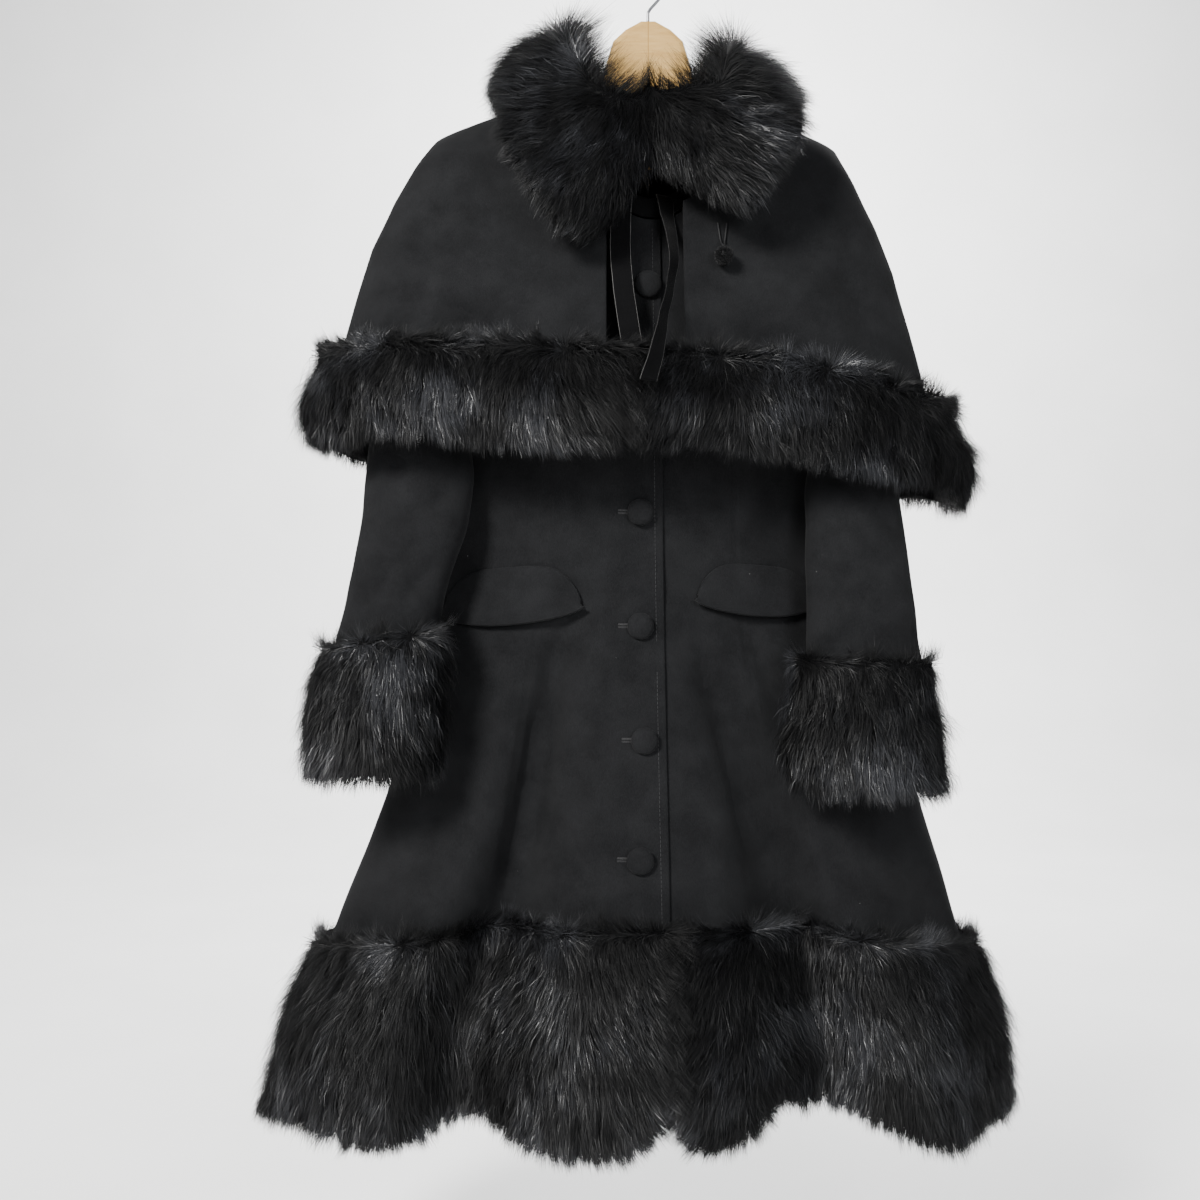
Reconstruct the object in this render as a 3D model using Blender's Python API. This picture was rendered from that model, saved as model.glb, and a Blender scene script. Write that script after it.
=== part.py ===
"""A knee-length coat with a shoulder cape, both edged with long fur, on a wooden hanger.

Metres, +Z up. The origin is the inside top of the hook, which rests on a rod. The coat's front
faces -Y. "Right" and "left" are the wearer's: the right side is at -X.
"""

from collections import namedtuple
from math import asin, cos, pi, radians, sin, sqrt

import bmesh
import bpy
from mathutils import Vector

# --- Sizes of the cloth and its seams ---
CLOTH = 0.002
VELVET = 0.0015
SEAM = 0.0003
FUR_SEAM = 0.0012
ARMHOLE_GAP = 0.0018
NECK_GAP = 0.0026
BUTTON_GAP = 0.0008
HALF_SEAM = SEAM / 2
STEP = 0.0005

# --- Heights of the coat, measured down from the hook's seat ---
NECK_HALF_WIDTH = 0.076
SHOULDER_TOP = -0.189
SHOULDER_FALL = 0.16
SHOULDER_DROOP = 0.9
SHOULDER_ROUND = 0.04
NECK_FRONT = -0.291
NECK_BACK = -0.200
ARMHOLE_LOW = -0.392
ARMHOLE_ANGLE = radians(55)
FUR_TOP_FRONT = -0.928
FUR_TOP_SIDE = -0.966
FUR_TOP_BACK = -0.950
HEM = -1.136
HEM_FRONT_RISE = 0.016
HEM_WAVE = 0.006
HANG_TILT = 0.05
TILT_FROM = -0.80
TILT_FULL = -0.45

# --- The front closing ---
LAP_EDGE_TOP = 0.008
LAP_EDGE_LOW = 0.018
UNDERLAP = 0.045
LAP_RAMP = 0.03
LAP_GAP = 0.0011

# --- Cape ---
CAPE_SHOULDER_TOP = -0.168
CAPE_NECK_HALF_WIDTH = 0.082
CAPE_FULLNESS = 0.5
BACK_FULLNESS = 0.7
CAPE_NECK_FRONT = -0.283
CAPE_NECK_BACK = -0.186
CAPE_HEM_FRONT = -0.422
CAPE_HEM_SIDE = -0.424
CAPE_HEM_BACK = -0.448
CAPE_LEFT_DROP = 0.026
CAPE_FUR_HEIGHT = 0.090
CAPE_EDGE_RIGHT = -0.041
CAPE_EDGE_LEFT = 0.028
CAPE_FUR_MEET = -0.013

# --- Fur ---
HEM_FUR_DEPTH = 0.027
CAPE_FUR_DEPTH = 0.033
CUFF_FUR_DEPTH = 0.021
FUR_EDGE_SHARE = 0.45
LOCK_WAVE = 0.0035

# --- Small things ---
BUTTON_RADIUS = 0.0123
BUTTON_HEIGHT = 0.0065
BAND_HEIGHT = 0.021
BAND_LEAN = 0.05
BAND_INSET = 0.962
RIBBON_HALF_WIDTH = 0.0092
RIBBON_THICK = 0.0011
FLAP_THICK = 0.0028
FLAP_LIFT = 0.006
FLAP_GAP = 0.0012
POMPOM_CORE = 0.0062
POMPOM_RADIUS = 0.0095
POMPOM_GAP = 0.0012
POMPOM_X = 0.0630
POMPOM_Z = -0.3290
STRING_RADIUS = 0.0007
STRING_REACH = 0.026
STRING_SPREAD = 0.0040
STRING_LIFT = 0.0016

# --- Hanger ---
WIRE_RADIUS = 0.0015
HOOK_RADIUS = 0.023
HOOK_CENTRE = -0.0215
WOOD_TOP = -0.0748
WOOD_HALF_THICK = 0.0060
WOOD_ARM_START = NECK_HALF_WIDTH + 0.004
WOOD_ARM_END = 0.154
WOOD_ARM_HEIGHT = 0.026
WOOD_TIP_HEIGHT = 0.016
WOOD_TIP_FROM = 0.150
WOOD_TILT_FROM = 0.060
WOOD_LOW_HALF_WIDTH = 0.040
HOOK_START = -20
HOOK_END = 195
WOOD_ROUND = 0.0052
ARM_GAP = 0.0024

# Each row is a level cut through the shell: its middle, half-width, and depth to front and back.
Level = namedtuple("Level", "z middle half_width front back")
COAT_LEVELS = (
    Level(-0.180, -0.004, 0.198, 0.066, 0.036),
    Level(-0.240, -0.004, 0.199, 0.068, 0.038),
    Level(-0.320, -0.005, 0.200, 0.080, 0.040),
    Level(-0.400, -0.006, 0.196, 0.080, 0.038),
    Level(-0.500, -0.008, 0.188, 0.070, 0.034),
    Level(-0.600, -0.008, 0.193, 0.063, 0.034),
    Level(-0.720, -0.002, 0.221, 0.072, 0.036),
    Level(-0.820, 0.004, 0.256, 0.086, 0.038),
    Level(-0.950, -0.002, 0.300, 0.104, 0.042),
    Level(-1.050, -0.006, 0.331, 0.116, 0.046),
    Level(-1.150, -0.014, 0.352, 0.124, 0.048),
)
CAPE_LEVELS = (
    Level(-0.165, -0.012, 0.192, 0.080, 0.046),
    Level(-0.205, -0.012, 0.194, 0.081, 0.047),
    Level(-0.240, -0.013, 0.211, 0.086, 0.050),
    Level(-0.275, -0.014, 0.229, 0.091, 0.052),
    Level(-0.320, -0.016, 0.248, 0.099, 0.054),
    Level(-0.390, -0.017, 0.267, 0.113, 0.057),
    Level(-0.450, -0.016, 0.281, 0.123, 0.060),
    Level(-0.540, -0.012, 0.296, 0.130, 0.062),
)

# Each row is a fold: a ridge where rise is positive and a valley where it is negative. Its angle
# goes round the shell from the middle of that face, in degrees, at its upper and lower end.
Fold = namedtuple("Fold", "upper_angle lower_angle width rise upper_z lower_z")
COAT_FRONT_FOLDS = (
    Fold(-20, -28, 9, -0.050, -0.60, -0.98),
    Fold(-42, -52, 15, 0.016, -0.78, -1.02),
    Fold(-4, 1, 20, 0.016, -0.66, -1.05),
    Fold(17, 27, 9, -0.046, -0.62, -0.98),
    Fold(40, 51, 13, 0.018, -0.78, -1.02),
    Fold(64, 70, 9, -0.010, -0.74, -1.02),
)
COAT_BACK_FOLDS = (
    Fold(-48, -56, 13, -0.018, -0.66, -1.05),
    Fold(-20, -24, 12, 0.012, -0.62, -1.05),
    Fold(4, 3, 10, -0.020, -0.70, -1.05),
    Fold(24, 28, 12, 0.014, -0.60, -1.05),
    Fold(50, 55, 12, -0.016, -0.68, -1.05),
)

# Each row is a stretch of the front hem that hangs higher, at an angle in degrees.
HemLift = namedtuple("HemLift", "angle width rise")
HEM_LIFTS = (HemLift(-26, 10, 0.014), HemLift(31, 12, 0.026))

CAPE_FRONT_FOLDS = (
    Fold(-40, -52, 12, 0.007, -0.26, -0.45),
    Fold(-24, -30, 9, -0.006, -0.25, -0.43),
    Fold(28, 34, 11, 0.005, -0.26, -0.45),
    Fold(54, 60, 10, -0.006, -0.25, -0.44),
)
CAPE_BACK_FOLDS = (
    Fold(-46, -50, 13, -0.010, -0.25, -0.45),
    Fold(-12, -14, 12, 0.007, -0.24, -0.45),
    Fold(30, 36, 13, -0.009, -0.25, -0.45),
)

# Each row is a ring of a sleeve: where its outer and inner side lie, its middle depth and half-depth.
Ring = namedtuple("Ring", "outer_x outer_z inner_x inner_z middle_y half_depth")
SLEEVE_RIGHT_RINGS = (
    Ring(-0.184, -0.207, -0.203, -0.394, 0.000, 0.040),
    Ring(-0.208, -0.238, -0.208, -0.401, -0.010, 0.038),
    Ring(-0.235, -0.300, -0.207, -0.414, -0.024, 0.034),
    Ring(-0.250, -0.380, -0.198, -0.434, -0.038, 0.030),
    Ring(-0.258, -0.450, -0.176, -0.470, -0.050, 0.027),
    Ring(-0.263, -0.520, -0.163, -0.518, -0.060, 0.026),
    Ring(-0.268, -0.580, -0.169, -0.570, -0.068, 0.026),
    Ring(-0.278, -0.635, -0.185, -0.622, -0.074, 0.027),
    Ring(-0.288, -0.680, -0.194, -0.664, -0.078, 0.028),
)
SLEEVE_LEFT_RINGS = (
    Ring(0.172, -0.215, 0.195, -0.402, 0.000, 0.040),
    Ring(0.190, -0.252, 0.199, -0.410, -0.010, 0.038),
    Ring(0.209, -0.316, 0.198, -0.424, -0.024, 0.034),
    Ring(0.219, -0.390, 0.187, -0.444, -0.038, 0.030),
    Ring(0.224, -0.460, 0.160, -0.480, -0.050, 0.027),
    Ring(0.228, -0.530, 0.144, -0.525, -0.060, 0.026),
    Ring(0.234, -0.600, 0.141, -0.600, -0.076, 0.026),
    Ring(0.238, -0.650, 0.140, -0.655, -0.086, 0.025),
    Ring(0.241, -0.694, 0.139, -0.690, -0.094, 0.024),
)
CUFF_RIGHT_RINGS = (
    Ring(-0.2885, -0.6815, -0.1943, -0.6655, -0.078, 0.028),
    Ring(-0.297, -0.730, -0.205, -0.724, -0.082, 0.030),
    Ring(-0.300, -0.803, -0.210, -0.800, -0.086, 0.031),
)
CUFF_LEFT_RINGS = (
    Ring(0.2411, -0.6949, 0.1390, -0.6909, -0.094, 0.024),
    Ring(0.242, -0.750, 0.134, -0.750, -0.102, 0.026),
    Ring(0.243, -0.810, 0.139, -0.806, -0.108, 0.027),
)

# Each row is a cut across the fur collar, from the right front end round the back to the left. It
# goes from the neck to the collar's free edge, and is as thick as twice its half-thickness.
Cut = namedtuple("Cut", "neck_x neck_y neck_z edge_x edge_y edge_z half_thick")
COLLAR_CUTS = (
    Cut(-0.0060, -0.088, -0.168, -0.0065, -0.093, -0.263, 0.016),
    Cut(-0.0280, -0.091, -0.180, -0.0360, -0.102, -0.314, 0.021),
    Cut(-0.0570, -0.088, -0.172, -0.0800, -0.108, -0.332, 0.024),
    Cut(-0.0720, -0.055, -0.136, -0.1210, -0.107, -0.278, 0.025),
    Cut(-0.0730, -0.014, -0.120, -0.1300, -0.074, -0.2075, 0.027),
    Cut(-0.0690, 0.020, -0.116, -0.1210, 0.010, -0.1800, 0.026),
    Cut(-0.0480, 0.036, -0.124, -0.0880, 0.060, -0.184, 0.025),
    Cut(-0.0040, 0.042, -0.130, -0.0040, 0.068, -0.190, 0.020),
    Cut(0.0400, 0.036, -0.126, 0.0820, 0.060, -0.188, 0.025),
    Cut(0.0640, 0.020, -0.120, 0.1150, 0.010, -0.190, 0.023),
    Cut(0.0690, -0.014, -0.126, 0.1230, -0.072, -0.214, 0.022),
    Cut(0.0690, -0.055, -0.142, 0.1200, -0.107, -0.266, 0.022),
    Cut(0.0590, -0.088, -0.172, 0.0840, -0.108, -0.310, 0.024),
    Cut(0.0260, -0.091, -0.180, 0.0360, -0.100, -0.286, 0.021),
    Cut(-0.0040, -0.088, -0.168, -0.0040, -0.093, -0.263, 0.016),
)

# Each row is a point along a ribbon and the turn of its width about the vertical, in degrees.
RibbonPoint = namedtuple("RibbonPoint", "x y z turn")
RIBBON_RIGHT_POINTS = (
    RibbonPoint(-0.0270, -0.0764, -0.268, -8),
    RibbonPoint(-0.0278, -0.0860, -0.292, -6),
    RibbonPoint(-0.0285, -0.0990, -0.325, 4),
    RibbonPoint(-0.0262, -0.1080, -0.358, 8),
    RibbonPoint(-0.0225, -0.1110, -0.386, 0),
    RibbonPoint(-0.0190, -0.1125, -0.409, -6),
)
RIBBON_LEFT_POINTS = (
    RibbonPoint(0.0120, -0.0756, -0.268, 5),
    RibbonPoint(0.0150, -0.0890, -0.295, 20),
    RibbonPoint(0.0190, -0.1060, -0.328, 44),
    RibbonPoint(0.0150, -0.1220, -0.362, 66),
    RibbonPoint(0.0080, -0.1440, -0.394, 60),
    RibbonPoint(0.0020, -0.1620, -0.424, 30),
    RibbonPoint(-0.0070, -0.1690, -0.453, 4),
)

# Each row is a flap: its two ends and the top of its curve, seen from the front.
Flap = namedtuple("Flap", "outer_x outer_z inner_x inner_z rise drop")
FLAP_RIGHT = Flap(-0.197, -0.652, -0.0640, -0.640, 0.036, 0.024)
FLAP_LEFT = Flap(0.156, -0.636, 0.0430, -0.631, 0.032, 0.024)

ButtonPlace = namedtuple("ButtonPlace", "name x z")
BUTTONS = (
    ButtonPlace("button_1", -0.0030, -0.352),
    ButtonPlace("button_2", -0.0065, -0.455),
    ButtonPlace("button_3", -0.0095, -0.557),
    ButtonPlace("button_4", -0.0095, -0.661),
    ButtonPlace("button_5", -0.0065, -0.764),
    ButtonPlace("button_6", -0.0110, -0.868),
)

# Each row is a point of the hook's stem, from the wood up to where its ring begins.
StemPoint = namedtuple("StemPoint", "x z")
HOOK_STEM = (
    StemPoint(0.0000, WOOD_TOP + SEAM),
    StemPoint(0.0000, -0.0660),
    StemPoint(0.0020, -0.0625),
    StemPoint(0.0075, -0.0565),
    StemPoint(0.0140, -0.0490),
    StemPoint(0.0190, -0.0400),
)

# Each row is a point of the wood's neck, from its flat top out and down to an arm.
NeckPoint = namedtuple("NeckPoint", "x z")
WOOD_NECK = (
    NeckPoint(0.0000, WOOD_TOP),
    NeckPoint(0.0070, WOOD_TOP),
    NeckPoint(0.0220, -0.0830),
    NeckPoint(0.0340, -0.0943),
    NeckPoint(0.0410, -0.1170),
    NeckPoint(0.0460, -0.1500),
    NeckPoint(0.0550, -0.1790),
    NeckPoint(0.0645, -0.1955),
)

Look = namedtuple("Look", "colour roughness metallic")
LOOKS = {
    "wool": Look((0.021, 0.021, 0.023), 0.95, 0.0),
    "fur": Look((0.008, 0.008, 0.009), 0.55, 0.0),
    "velvet": Look((0.007, 0.007, 0.008), 0.80, 0.0),
    "wood": Look((0.640, 0.430, 0.240), 0.45, 0.0),
    "steel": Look((0.560, 0.560, 0.580), 0.25, 1.0),
}


# --- Curves through table rows ---
def between(values, place):
    """A smooth value at a real place along a list of evenly spaced values."""
    last = len(values) - 1
    place = min(max(place, 0.0), float(last))
    low = min(int(place), last - 1)
    part = place - low
    start, end = values[low], values[low + 1]
    slope_start = (end - values[max(low - 1, 0)]) / (2 if low else 1)
    slope_end = (values[min(low + 2, last)] - start) / (2 if low + 2 <= last else 1)
    square = part * part
    cube = square * part
    return (
        (2 * cube - 3 * square + 1) * start
        + (cube - 2 * square + part) * slope_start
        + (3 * square - 2 * cube) * end
        + (cube - square) * slope_end
    )


def along(rows, column, share):
    """The value of a column at a share, 0 to 1, of the way down its rows."""
    return between([getattr(row, column) for row in rows], share * (len(rows) - 1))


def at_height(rows, z):
    """The share of the way down its rows at which a table of levels has this height."""
    if z >= rows[0].z:
        return 0.0
    for index in range(len(rows) - 1):
        if z >= rows[index + 1].z:
            step = (rows[index].z - z) / (rows[index].z - rows[index + 1].z)
            return (index + step) / (len(rows) - 1)
    return 1.0


def smooth_step(value):
    value = min(max(value, 0.0), 1.0)
    return value * value * (3 - 2 * value)


def mix(start, end, share):
    return start + (end - start) * share


# --- Shells: the coat and the cape, as a face, an angle round it and a height ---
def folded(folds, angle, z):
    rise = 0.0
    for fold in folds:
        share = (fold.upper_z - z) / (fold.upper_z - fold.lower_z)
        grown = smooth_step(share)
        middle = radians(mix(fold.upper_angle, fold.lower_angle, min(max(share, 0.0), 1.0)))
        away = (angle - middle) / radians(fold.width)
        if abs(away) < 2:
            rise += fold.rise * grown * (0.5 + 0.5 * cos(away * pi / 2)) ** 2
    return rise


def shoulder_line(x, top):
    """The height of the shoulder ridge at x."""
    out = max(abs(x) - NECK_HALF_WIDTH, 0.0)
    return top - SHOULDER_FALL * out - SHOULDER_DROOP * out * out


def tilted(x, z):
    """The coat hangs a little lower at the wearer's left, less so towards the hem."""
    return z - HANG_TILT * x * smooth_step((z - TILT_FROM) / (TILT_FULL - TILT_FROM))


def shell_x(levels, angle, z):
    share = at_height(levels, z)
    return along(levels, "middle", share) + along(levels, "half_width", share) * sin(angle)


def shell_angle(levels, x, z):
    """The angle at which the shell has this x."""
    share = at_height(levels, z)
    out = (x - along(levels, "middle", share)) / along(levels, "half_width", share)
    return asin(min(max(out, -1.0), 1.0))


def shell_point(levels, folds, top, fullness, face, angle, z, lift=0.0, grow=0.0):
    """A point of a shell's outer side. face is -1 at the front and 1 at the back.

    A lower fullness power makes the section less pointed at the sides. lift moves the point straight
    out to the front or back, and grow moves the whole section out.
    """
    share = at_height(levels, z)
    x = shell_x(levels, angle, z)
    depth = along(levels, "front" if face < 0 else "back", share)
    below = min((shoulder_line(x, top) - z) / SHOULDER_ROUND, 1.0)
    rounding = sqrt(max(1 - (1 - below) ** 2, 0.0)) if below > 0 else 0.0
    power = fullness if face < 0 else BACK_FULLNESS
    round_side = abs(cos(angle)) ** power * (1 if cos(angle) > 0 else -1)
    out = rounding * ((depth + grow) * round_side + folded(folds, angle, z) * cos(angle)) + lift
    return Vector((x + grow * sin(angle), face * (HALF_SEAM + out), tilted(x, z)))


def coat_point(face, angle, z, lift=0.0, grow=0.0):
    folds = COAT_FRONT_FOLDS if face < 0 else COAT_BACK_FOLDS
    return shell_point(COAT_LEVELS, folds, SHOULDER_TOP, 1.0, face, angle, z, lift, grow)


def cape_point(face, angle, z, lift=0.0, grow=0.0):
    folds = CAPE_FRONT_FOLDS if face < 0 else CAPE_BACK_FOLDS
    full = CAPE_FULLNESS
    return shell_point(CAPE_LEVELS, folds, CAPE_SHOULDER_TOP, full, face, angle, z, lift, grow)


def ridge_height(levels, top, angle):
    """The height at which a column of the shell reaches the shoulder ridge."""
    z = top
    for _ in range(6):
        z = shoulder_line(shell_x(levels, angle, z), top)
    return z


def neckline_height(x, half_width, ridge, lowest):
    """A round neckline, cut down into the shell between the shoulders."""
    out = min(abs(x) / half_width, 1.0)
    return mix(ridge, lowest, (1 - out**2) ** 0.75)


def coat_top(face, angle):
    """The upper edge of a coat panel: neckline, shoulder, then armhole."""
    ridge = ridge_height(COAT_LEVELS, SHOULDER_TOP, angle)
    x = shell_x(COAT_LEVELS, angle, ridge)
    if abs(x) < NECK_HALF_WIDTH:
        return neckline_height(x, NECK_HALF_WIDTH, ridge, NECK_FRONT if face < 0 else NECK_BACK)
    if abs(angle) > ARMHOLE_ANGLE:
        past = (abs(angle) - ARMHOLE_ANGLE) / (pi / 2 - ARMHOLE_ANGLE)
        return mix(ridge, ARMHOLE_LOW, sin(past * pi / 2) ** 1.1)
    return ridge


def cape_top(face, angle):
    ridge = ridge_height(CAPE_LEVELS, CAPE_SHOULDER_TOP, angle)
    x = shell_x(CAPE_LEVELS, angle, ridge)
    if abs(x) < CAPE_NECK_HALF_WIDTH:
        lowest = CAPE_NECK_FRONT if face < 0 else CAPE_NECK_BACK
        return neckline_height(x, CAPE_NECK_HALF_WIDTH, ridge, lowest)
    return ridge


def cape_hem(face, angle):
    """The lower edge of the cape's cloth, which drops at the wearer's left side."""
    middle = CAPE_HEM_FRONT if face < 0 else CAPE_HEM_BACK
    drop = CAPE_LEFT_DROP * max(sin(angle), 0.0) ** (3 if face < 0 else 1.5)
    return mix(CAPE_HEM_SIDE, middle, cos(angle) ** 2) - drop


def coat_fur_top(face, angle):
    """The seam between the coat's cloth and its fur hem."""
    middle = FUR_TOP_FRONT if face < 0 else FUR_TOP_BACK
    return mix(FUR_TOP_SIDE, middle, cos(angle) ** 2)


def coat_hem(face, angle):
    """The lower edge of the hem's fur, higher at the front and softly waved."""
    if face > 0:
        return HEM + HEM_WAVE * sin(5 * angle + 0.6)
    rise = HEM_FRONT_RISE * cos(angle) ** 2
    for lift in HEM_LIFTS:
        away = (angle - radians(lift.angle)) / radians(lift.width)
        if abs(away) < 2:
            rise += lift.rise * (0.5 + 0.5 * cos(away * pi / 2))
    return HEM + rise + HEM_WAVE * sin(5 * angle + 0.6)


def lap_edge(z):
    return mix(LAP_EDGE_TOP, LAP_EDGE_LOW, (z - NECK_FRONT) / (HEM - NECK_FRONT))


def lap_lift(x):
    """The right front rises over the left one by a cloth and a seam."""
    return (CLOTH + LAP_GAP) * smooth_step((x - lap_edge(NECK_FRONT) + UNDERLAP + LAP_RAMP) / LAP_RAMP)


# --- Meshes ---
def outward(surface, u, v, centre_seam):
    """The outward normal of a surface(u, v), with +u to the right seen from outside and +v down."""
    across = surface(min(u + STEP, 1.0), v) - surface(max(u - STEP, 0.0), v)
    down = surface(u, min(v + STEP, 1.0)) - surface(u, max(v - STEP, 0.0))
    normal = down.cross(across)
    if centre_seam and abs(surface(u, v).y) < 2 * HALF_SEAM:
        normal.y = 0.0
    return normal.normalized()


def finish(name, look, vertices, faces, collection):
    mesh = bpy.data.meshes.new(name)
    mesh.from_pydata(vertices, [], faces)
    bm = bmesh.new()
    bm.from_mesh(mesh)
    bmesh.ops.recalc_face_normals(bm, faces=bm.faces)
    bmesh.ops.triangulate(bm, faces=bm.faces, quad_method="SHORT_EDGE")
    if bm.calc_volume(signed=True) < 0:
        bmesh.ops.reverse_faces(bm, faces=bm.faces)
    bm.to_mesh(mesh)
    bm.free()
    mesh.shade_smooth()
    mesh.set_sharp_from_angle(angle=radians(40))
    mesh.materials.append(material(look))
    obj = bpy.data.objects.new(name, mesh)
    collection.objects.link(obj)
    return obj


def wall(name, look, surface, columns, rows, collection, **form):
    """A closed wall over surface(u, v), u and v from 0 to 1, with u to the right seen from outside.

    Its outer side is the surface and its inner side lies inside(u, v) within it. A grown wall's
    surface takes a third value, its growth, which is outside(u, v) on its outer side. closed joins
    the last column to the first. centre_seam keeps the edges on the plane of the side seams.
    """
    outside = form.get("outside", lambda u, v: 0.0)
    inside = form.get("inside", lambda u, v: CLOTH)
    closed = form.get("closed", False)
    across = columns if closed else columns + 1
    outer, inner = [], []
    for row in range(rows + 1):
        v = (row / rows) ** form.get("spread", 1.0)
        for column in range(across):
            u = column / columns
            if form.get("grown", False):
                outer.append(surface(u, v, outside(u, v)))
                inner.append(surface(u, v, -inside(u, v)))
            else:
                normal = outward(surface, u, v, form.get("centre_seam", False))
                outer.append(surface(u, v))
                inner.append(outer[-1] - normal * inside(u, v))
    shift = len(outer)
    faces = []
    for row in range(rows):
        for column in range(columns):
            a = row * across + column
            b = row * across + (column + 1) % across
            c, d = b + across, a + across
            faces.append((a, b, c, d))
            faces.append((a + shift, d + shift, c + shift, b + shift))
    for column in range(columns):
        a, b = column, (column + 1) % across
        faces.append((a, a + shift, b + shift, b))
        a, b = a + rows * across, b + rows * across
        faces.append((a, b, b + shift, a + shift))
    if not closed:
        for row in range(rows):
            a, b = row * across, (row + 1) * across
            faces.append((a, b, b + shift, a + shift))
            a, b = a + columns, b + columns
            faces.append((a, a + shift, b + shift, b))
    return finish(name, look, outer + inner, faces, collection)


def end_height(limit, face, angle_at):
    """The height where a column, whose angle is angle_at(z), meets a limit(face, angle)."""
    z = limit(face, 0.0)
    for _ in range(4):
        z = limit(face, angle_at(z))
    return z


def panel(point, face, first_angle, last_angle, top, bottom, lift=None):
    """surface(u, v) of a shell panel between two edges, each an angle that may change with height."""

    def surface(u, v):
        if face > 0:
            u = 1 - u

        def angle_at(z):
            return mix(first_angle(z), last_angle(z), u)

        z = mix(end_height(top, face, angle_at), end_height(bottom, face, angle_at), v)
        angle = angle_at(z)
        return point(face, angle, z, lift(angle, z) if lift else 0.0)

    return surface


def side_right(_z):
    return -pi / 2


def side_left(_z):
    return pi / 2


def edge_at(levels, x_of):
    """An edge that runs down the shell at x_of(z)."""
    return lambda z: shell_angle(levels, x_of(z), z)


# --- The coat ---
def above_fur(face, angle):
    return coat_fur_top(face, angle) + FUR_SEAM


def right_front_lift(angle, z):
    return lap_lift(shell_x(COAT_LEVELS, angle, z))


def make_coat(collection):
    lap = edge_at(COAT_LEVELS, lap_edge)
    under = edge_at(COAT_LEVELS, lambda z: lap_edge(z) - UNDERLAP)
    right = panel(coat_point, -1, side_right, lap, coat_top, above_fur, right_front_lift)
    left = panel(coat_point, -1, under, side_left, coat_top, above_fur)
    back = panel(coat_point, 1, side_right, side_left, coat_top, above_fur)
    form = {"centre_seam": True, "spread": 1.7}
    wall("coat_front_right", "wool", right, 15, 17, collection, **form)
    wall("coat_front_left", "wool", left, 16, 17, collection, **form)
    wall("coat_back", "wool", back, 20, 15, collection, **form)


# --- Fur bands ---
def fur_outside(depth, locks):
    """How far fur stands out from its backing: rounded at both edges and uneven in broad locks."""

    def outside(u, v):
        edge = mix(FUR_EDGE_SHARE, 1.0, sqrt(max(sin(pi * min(max(v, 0.02), 0.98)), 0.0)))
        wave = LOCK_WAVE * sin(locks * u * 2 * pi) * sin(3 * pi * v)
        return depth * edge + wave

    return outside


def band_half(name, point, side, limits, front_x, levels, size, form, collection):
    """Half of a fur band, from its front edge at front_x round the side to the middle of the back.

    side is -1 for the wearer's right half and 1 for the left, and limits are its top and bottom.
    """
    top, bottom = limits
    edge = edge_at(levels, lambda z: front_x)
    front_share = 1 - side * edge(HEM) / pi
    front_share = front_share / (front_share + 1)

    def surface(u, v, grow):
        turn = 1 - u if side < 0 else u
        face = -1 if turn <= front_share else 1
        onward = turn / front_share if face < 0 else (1 - turn) / (1 - front_share)

        def angle_at(z):
            return mix(edge(z) if face < 0 else 0.0, side * pi / 2, onward)

        z = mix(end_height(top, face, angle_at), end_height(bottom, face, angle_at), v)
        position = point(face, angle_at(z), z, -HALF_SEAM, grow)
        if turn >= 1:
            position.x += side * HALF_SEAM
        if turn <= 0:
            position.x = front_x
        return position

    wall(name, "fur", surface, *size, collection, grown=True, **form)


def make_hem_fur(collection):
    form = {"outside": fur_outside(HEM_FUR_DEPTH, 5)}
    meet = lap_edge(HEM)
    for name, side in (("hem_fur_right", -1), ("hem_fur_left", 1)):
        limits = (coat_fur_top, coat_hem)
        front_x = meet + side * HALF_SEAM
        band_half(name, coat_point, side, limits, front_x, COAT_LEVELS, (30, 5), form, collection)


def cape_fur_bottom(face, angle):
    return cape_hem(face, angle) - CAPE_FUR_HEIGHT + 0.004 * sin(7 * angle)


def make_cape_fur(collection):
    form = {"outside": fur_outside(CAPE_FUR_DEPTH, 4)}
    for name, side in (("cape_fur_right", -1), ("cape_fur_left", 1)):
        limits = (cape_hem, cape_fur_bottom)
        front_x = CAPE_FUR_MEET + side * HALF_SEAM
        band_half(name, cape_point, side, limits, front_x, CAPE_LEVELS, (22, 5), form, collection)


# --- The cape ---
def above_cape_fur(face, angle):
    return cape_hem(face, angle) + FUR_SEAM


def make_cape(collection):
    right_edge = edge_at(CAPE_LEVELS, lambda z: CAPE_EDGE_RIGHT)
    left_edge = edge_at(CAPE_LEVELS, lambda z: CAPE_EDGE_LEFT)
    form = {"centre_seam": True, "spread": 1.6}
    right = panel(cape_point, -1, side_right, right_edge, cape_top, above_cape_fur)
    left = panel(cape_point, -1, left_edge, side_left, cape_top, above_cape_fur)
    back = panel(cape_point, 1, side_right, side_left, cape_top, above_cape_fur)
    wall("cape_right", "wool", right, 11, 10, collection, **form)
    wall("cape_left", "wool", left, 11, 10, collection, **form)
    wall("cape_back", "wool", back, 18, 10, collection, **form)


# --- Sleeves and cuffs ---
def armhole_point(side, turn):
    """A point of the armhole, from the shoulder down the front to the underarm and up the back."""
    face = -1 if turn <= 0.5 else 1
    share = turn * 2 if turn <= 0.5 else 2 - turn * 2
    angle = side * mix(ARMHOLE_ANGLE, pi / 2, share)
    point = coat_point(face, angle, coat_top(face, angle))
    point.x += side * ARMHOLE_GAP
    return point


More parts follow.
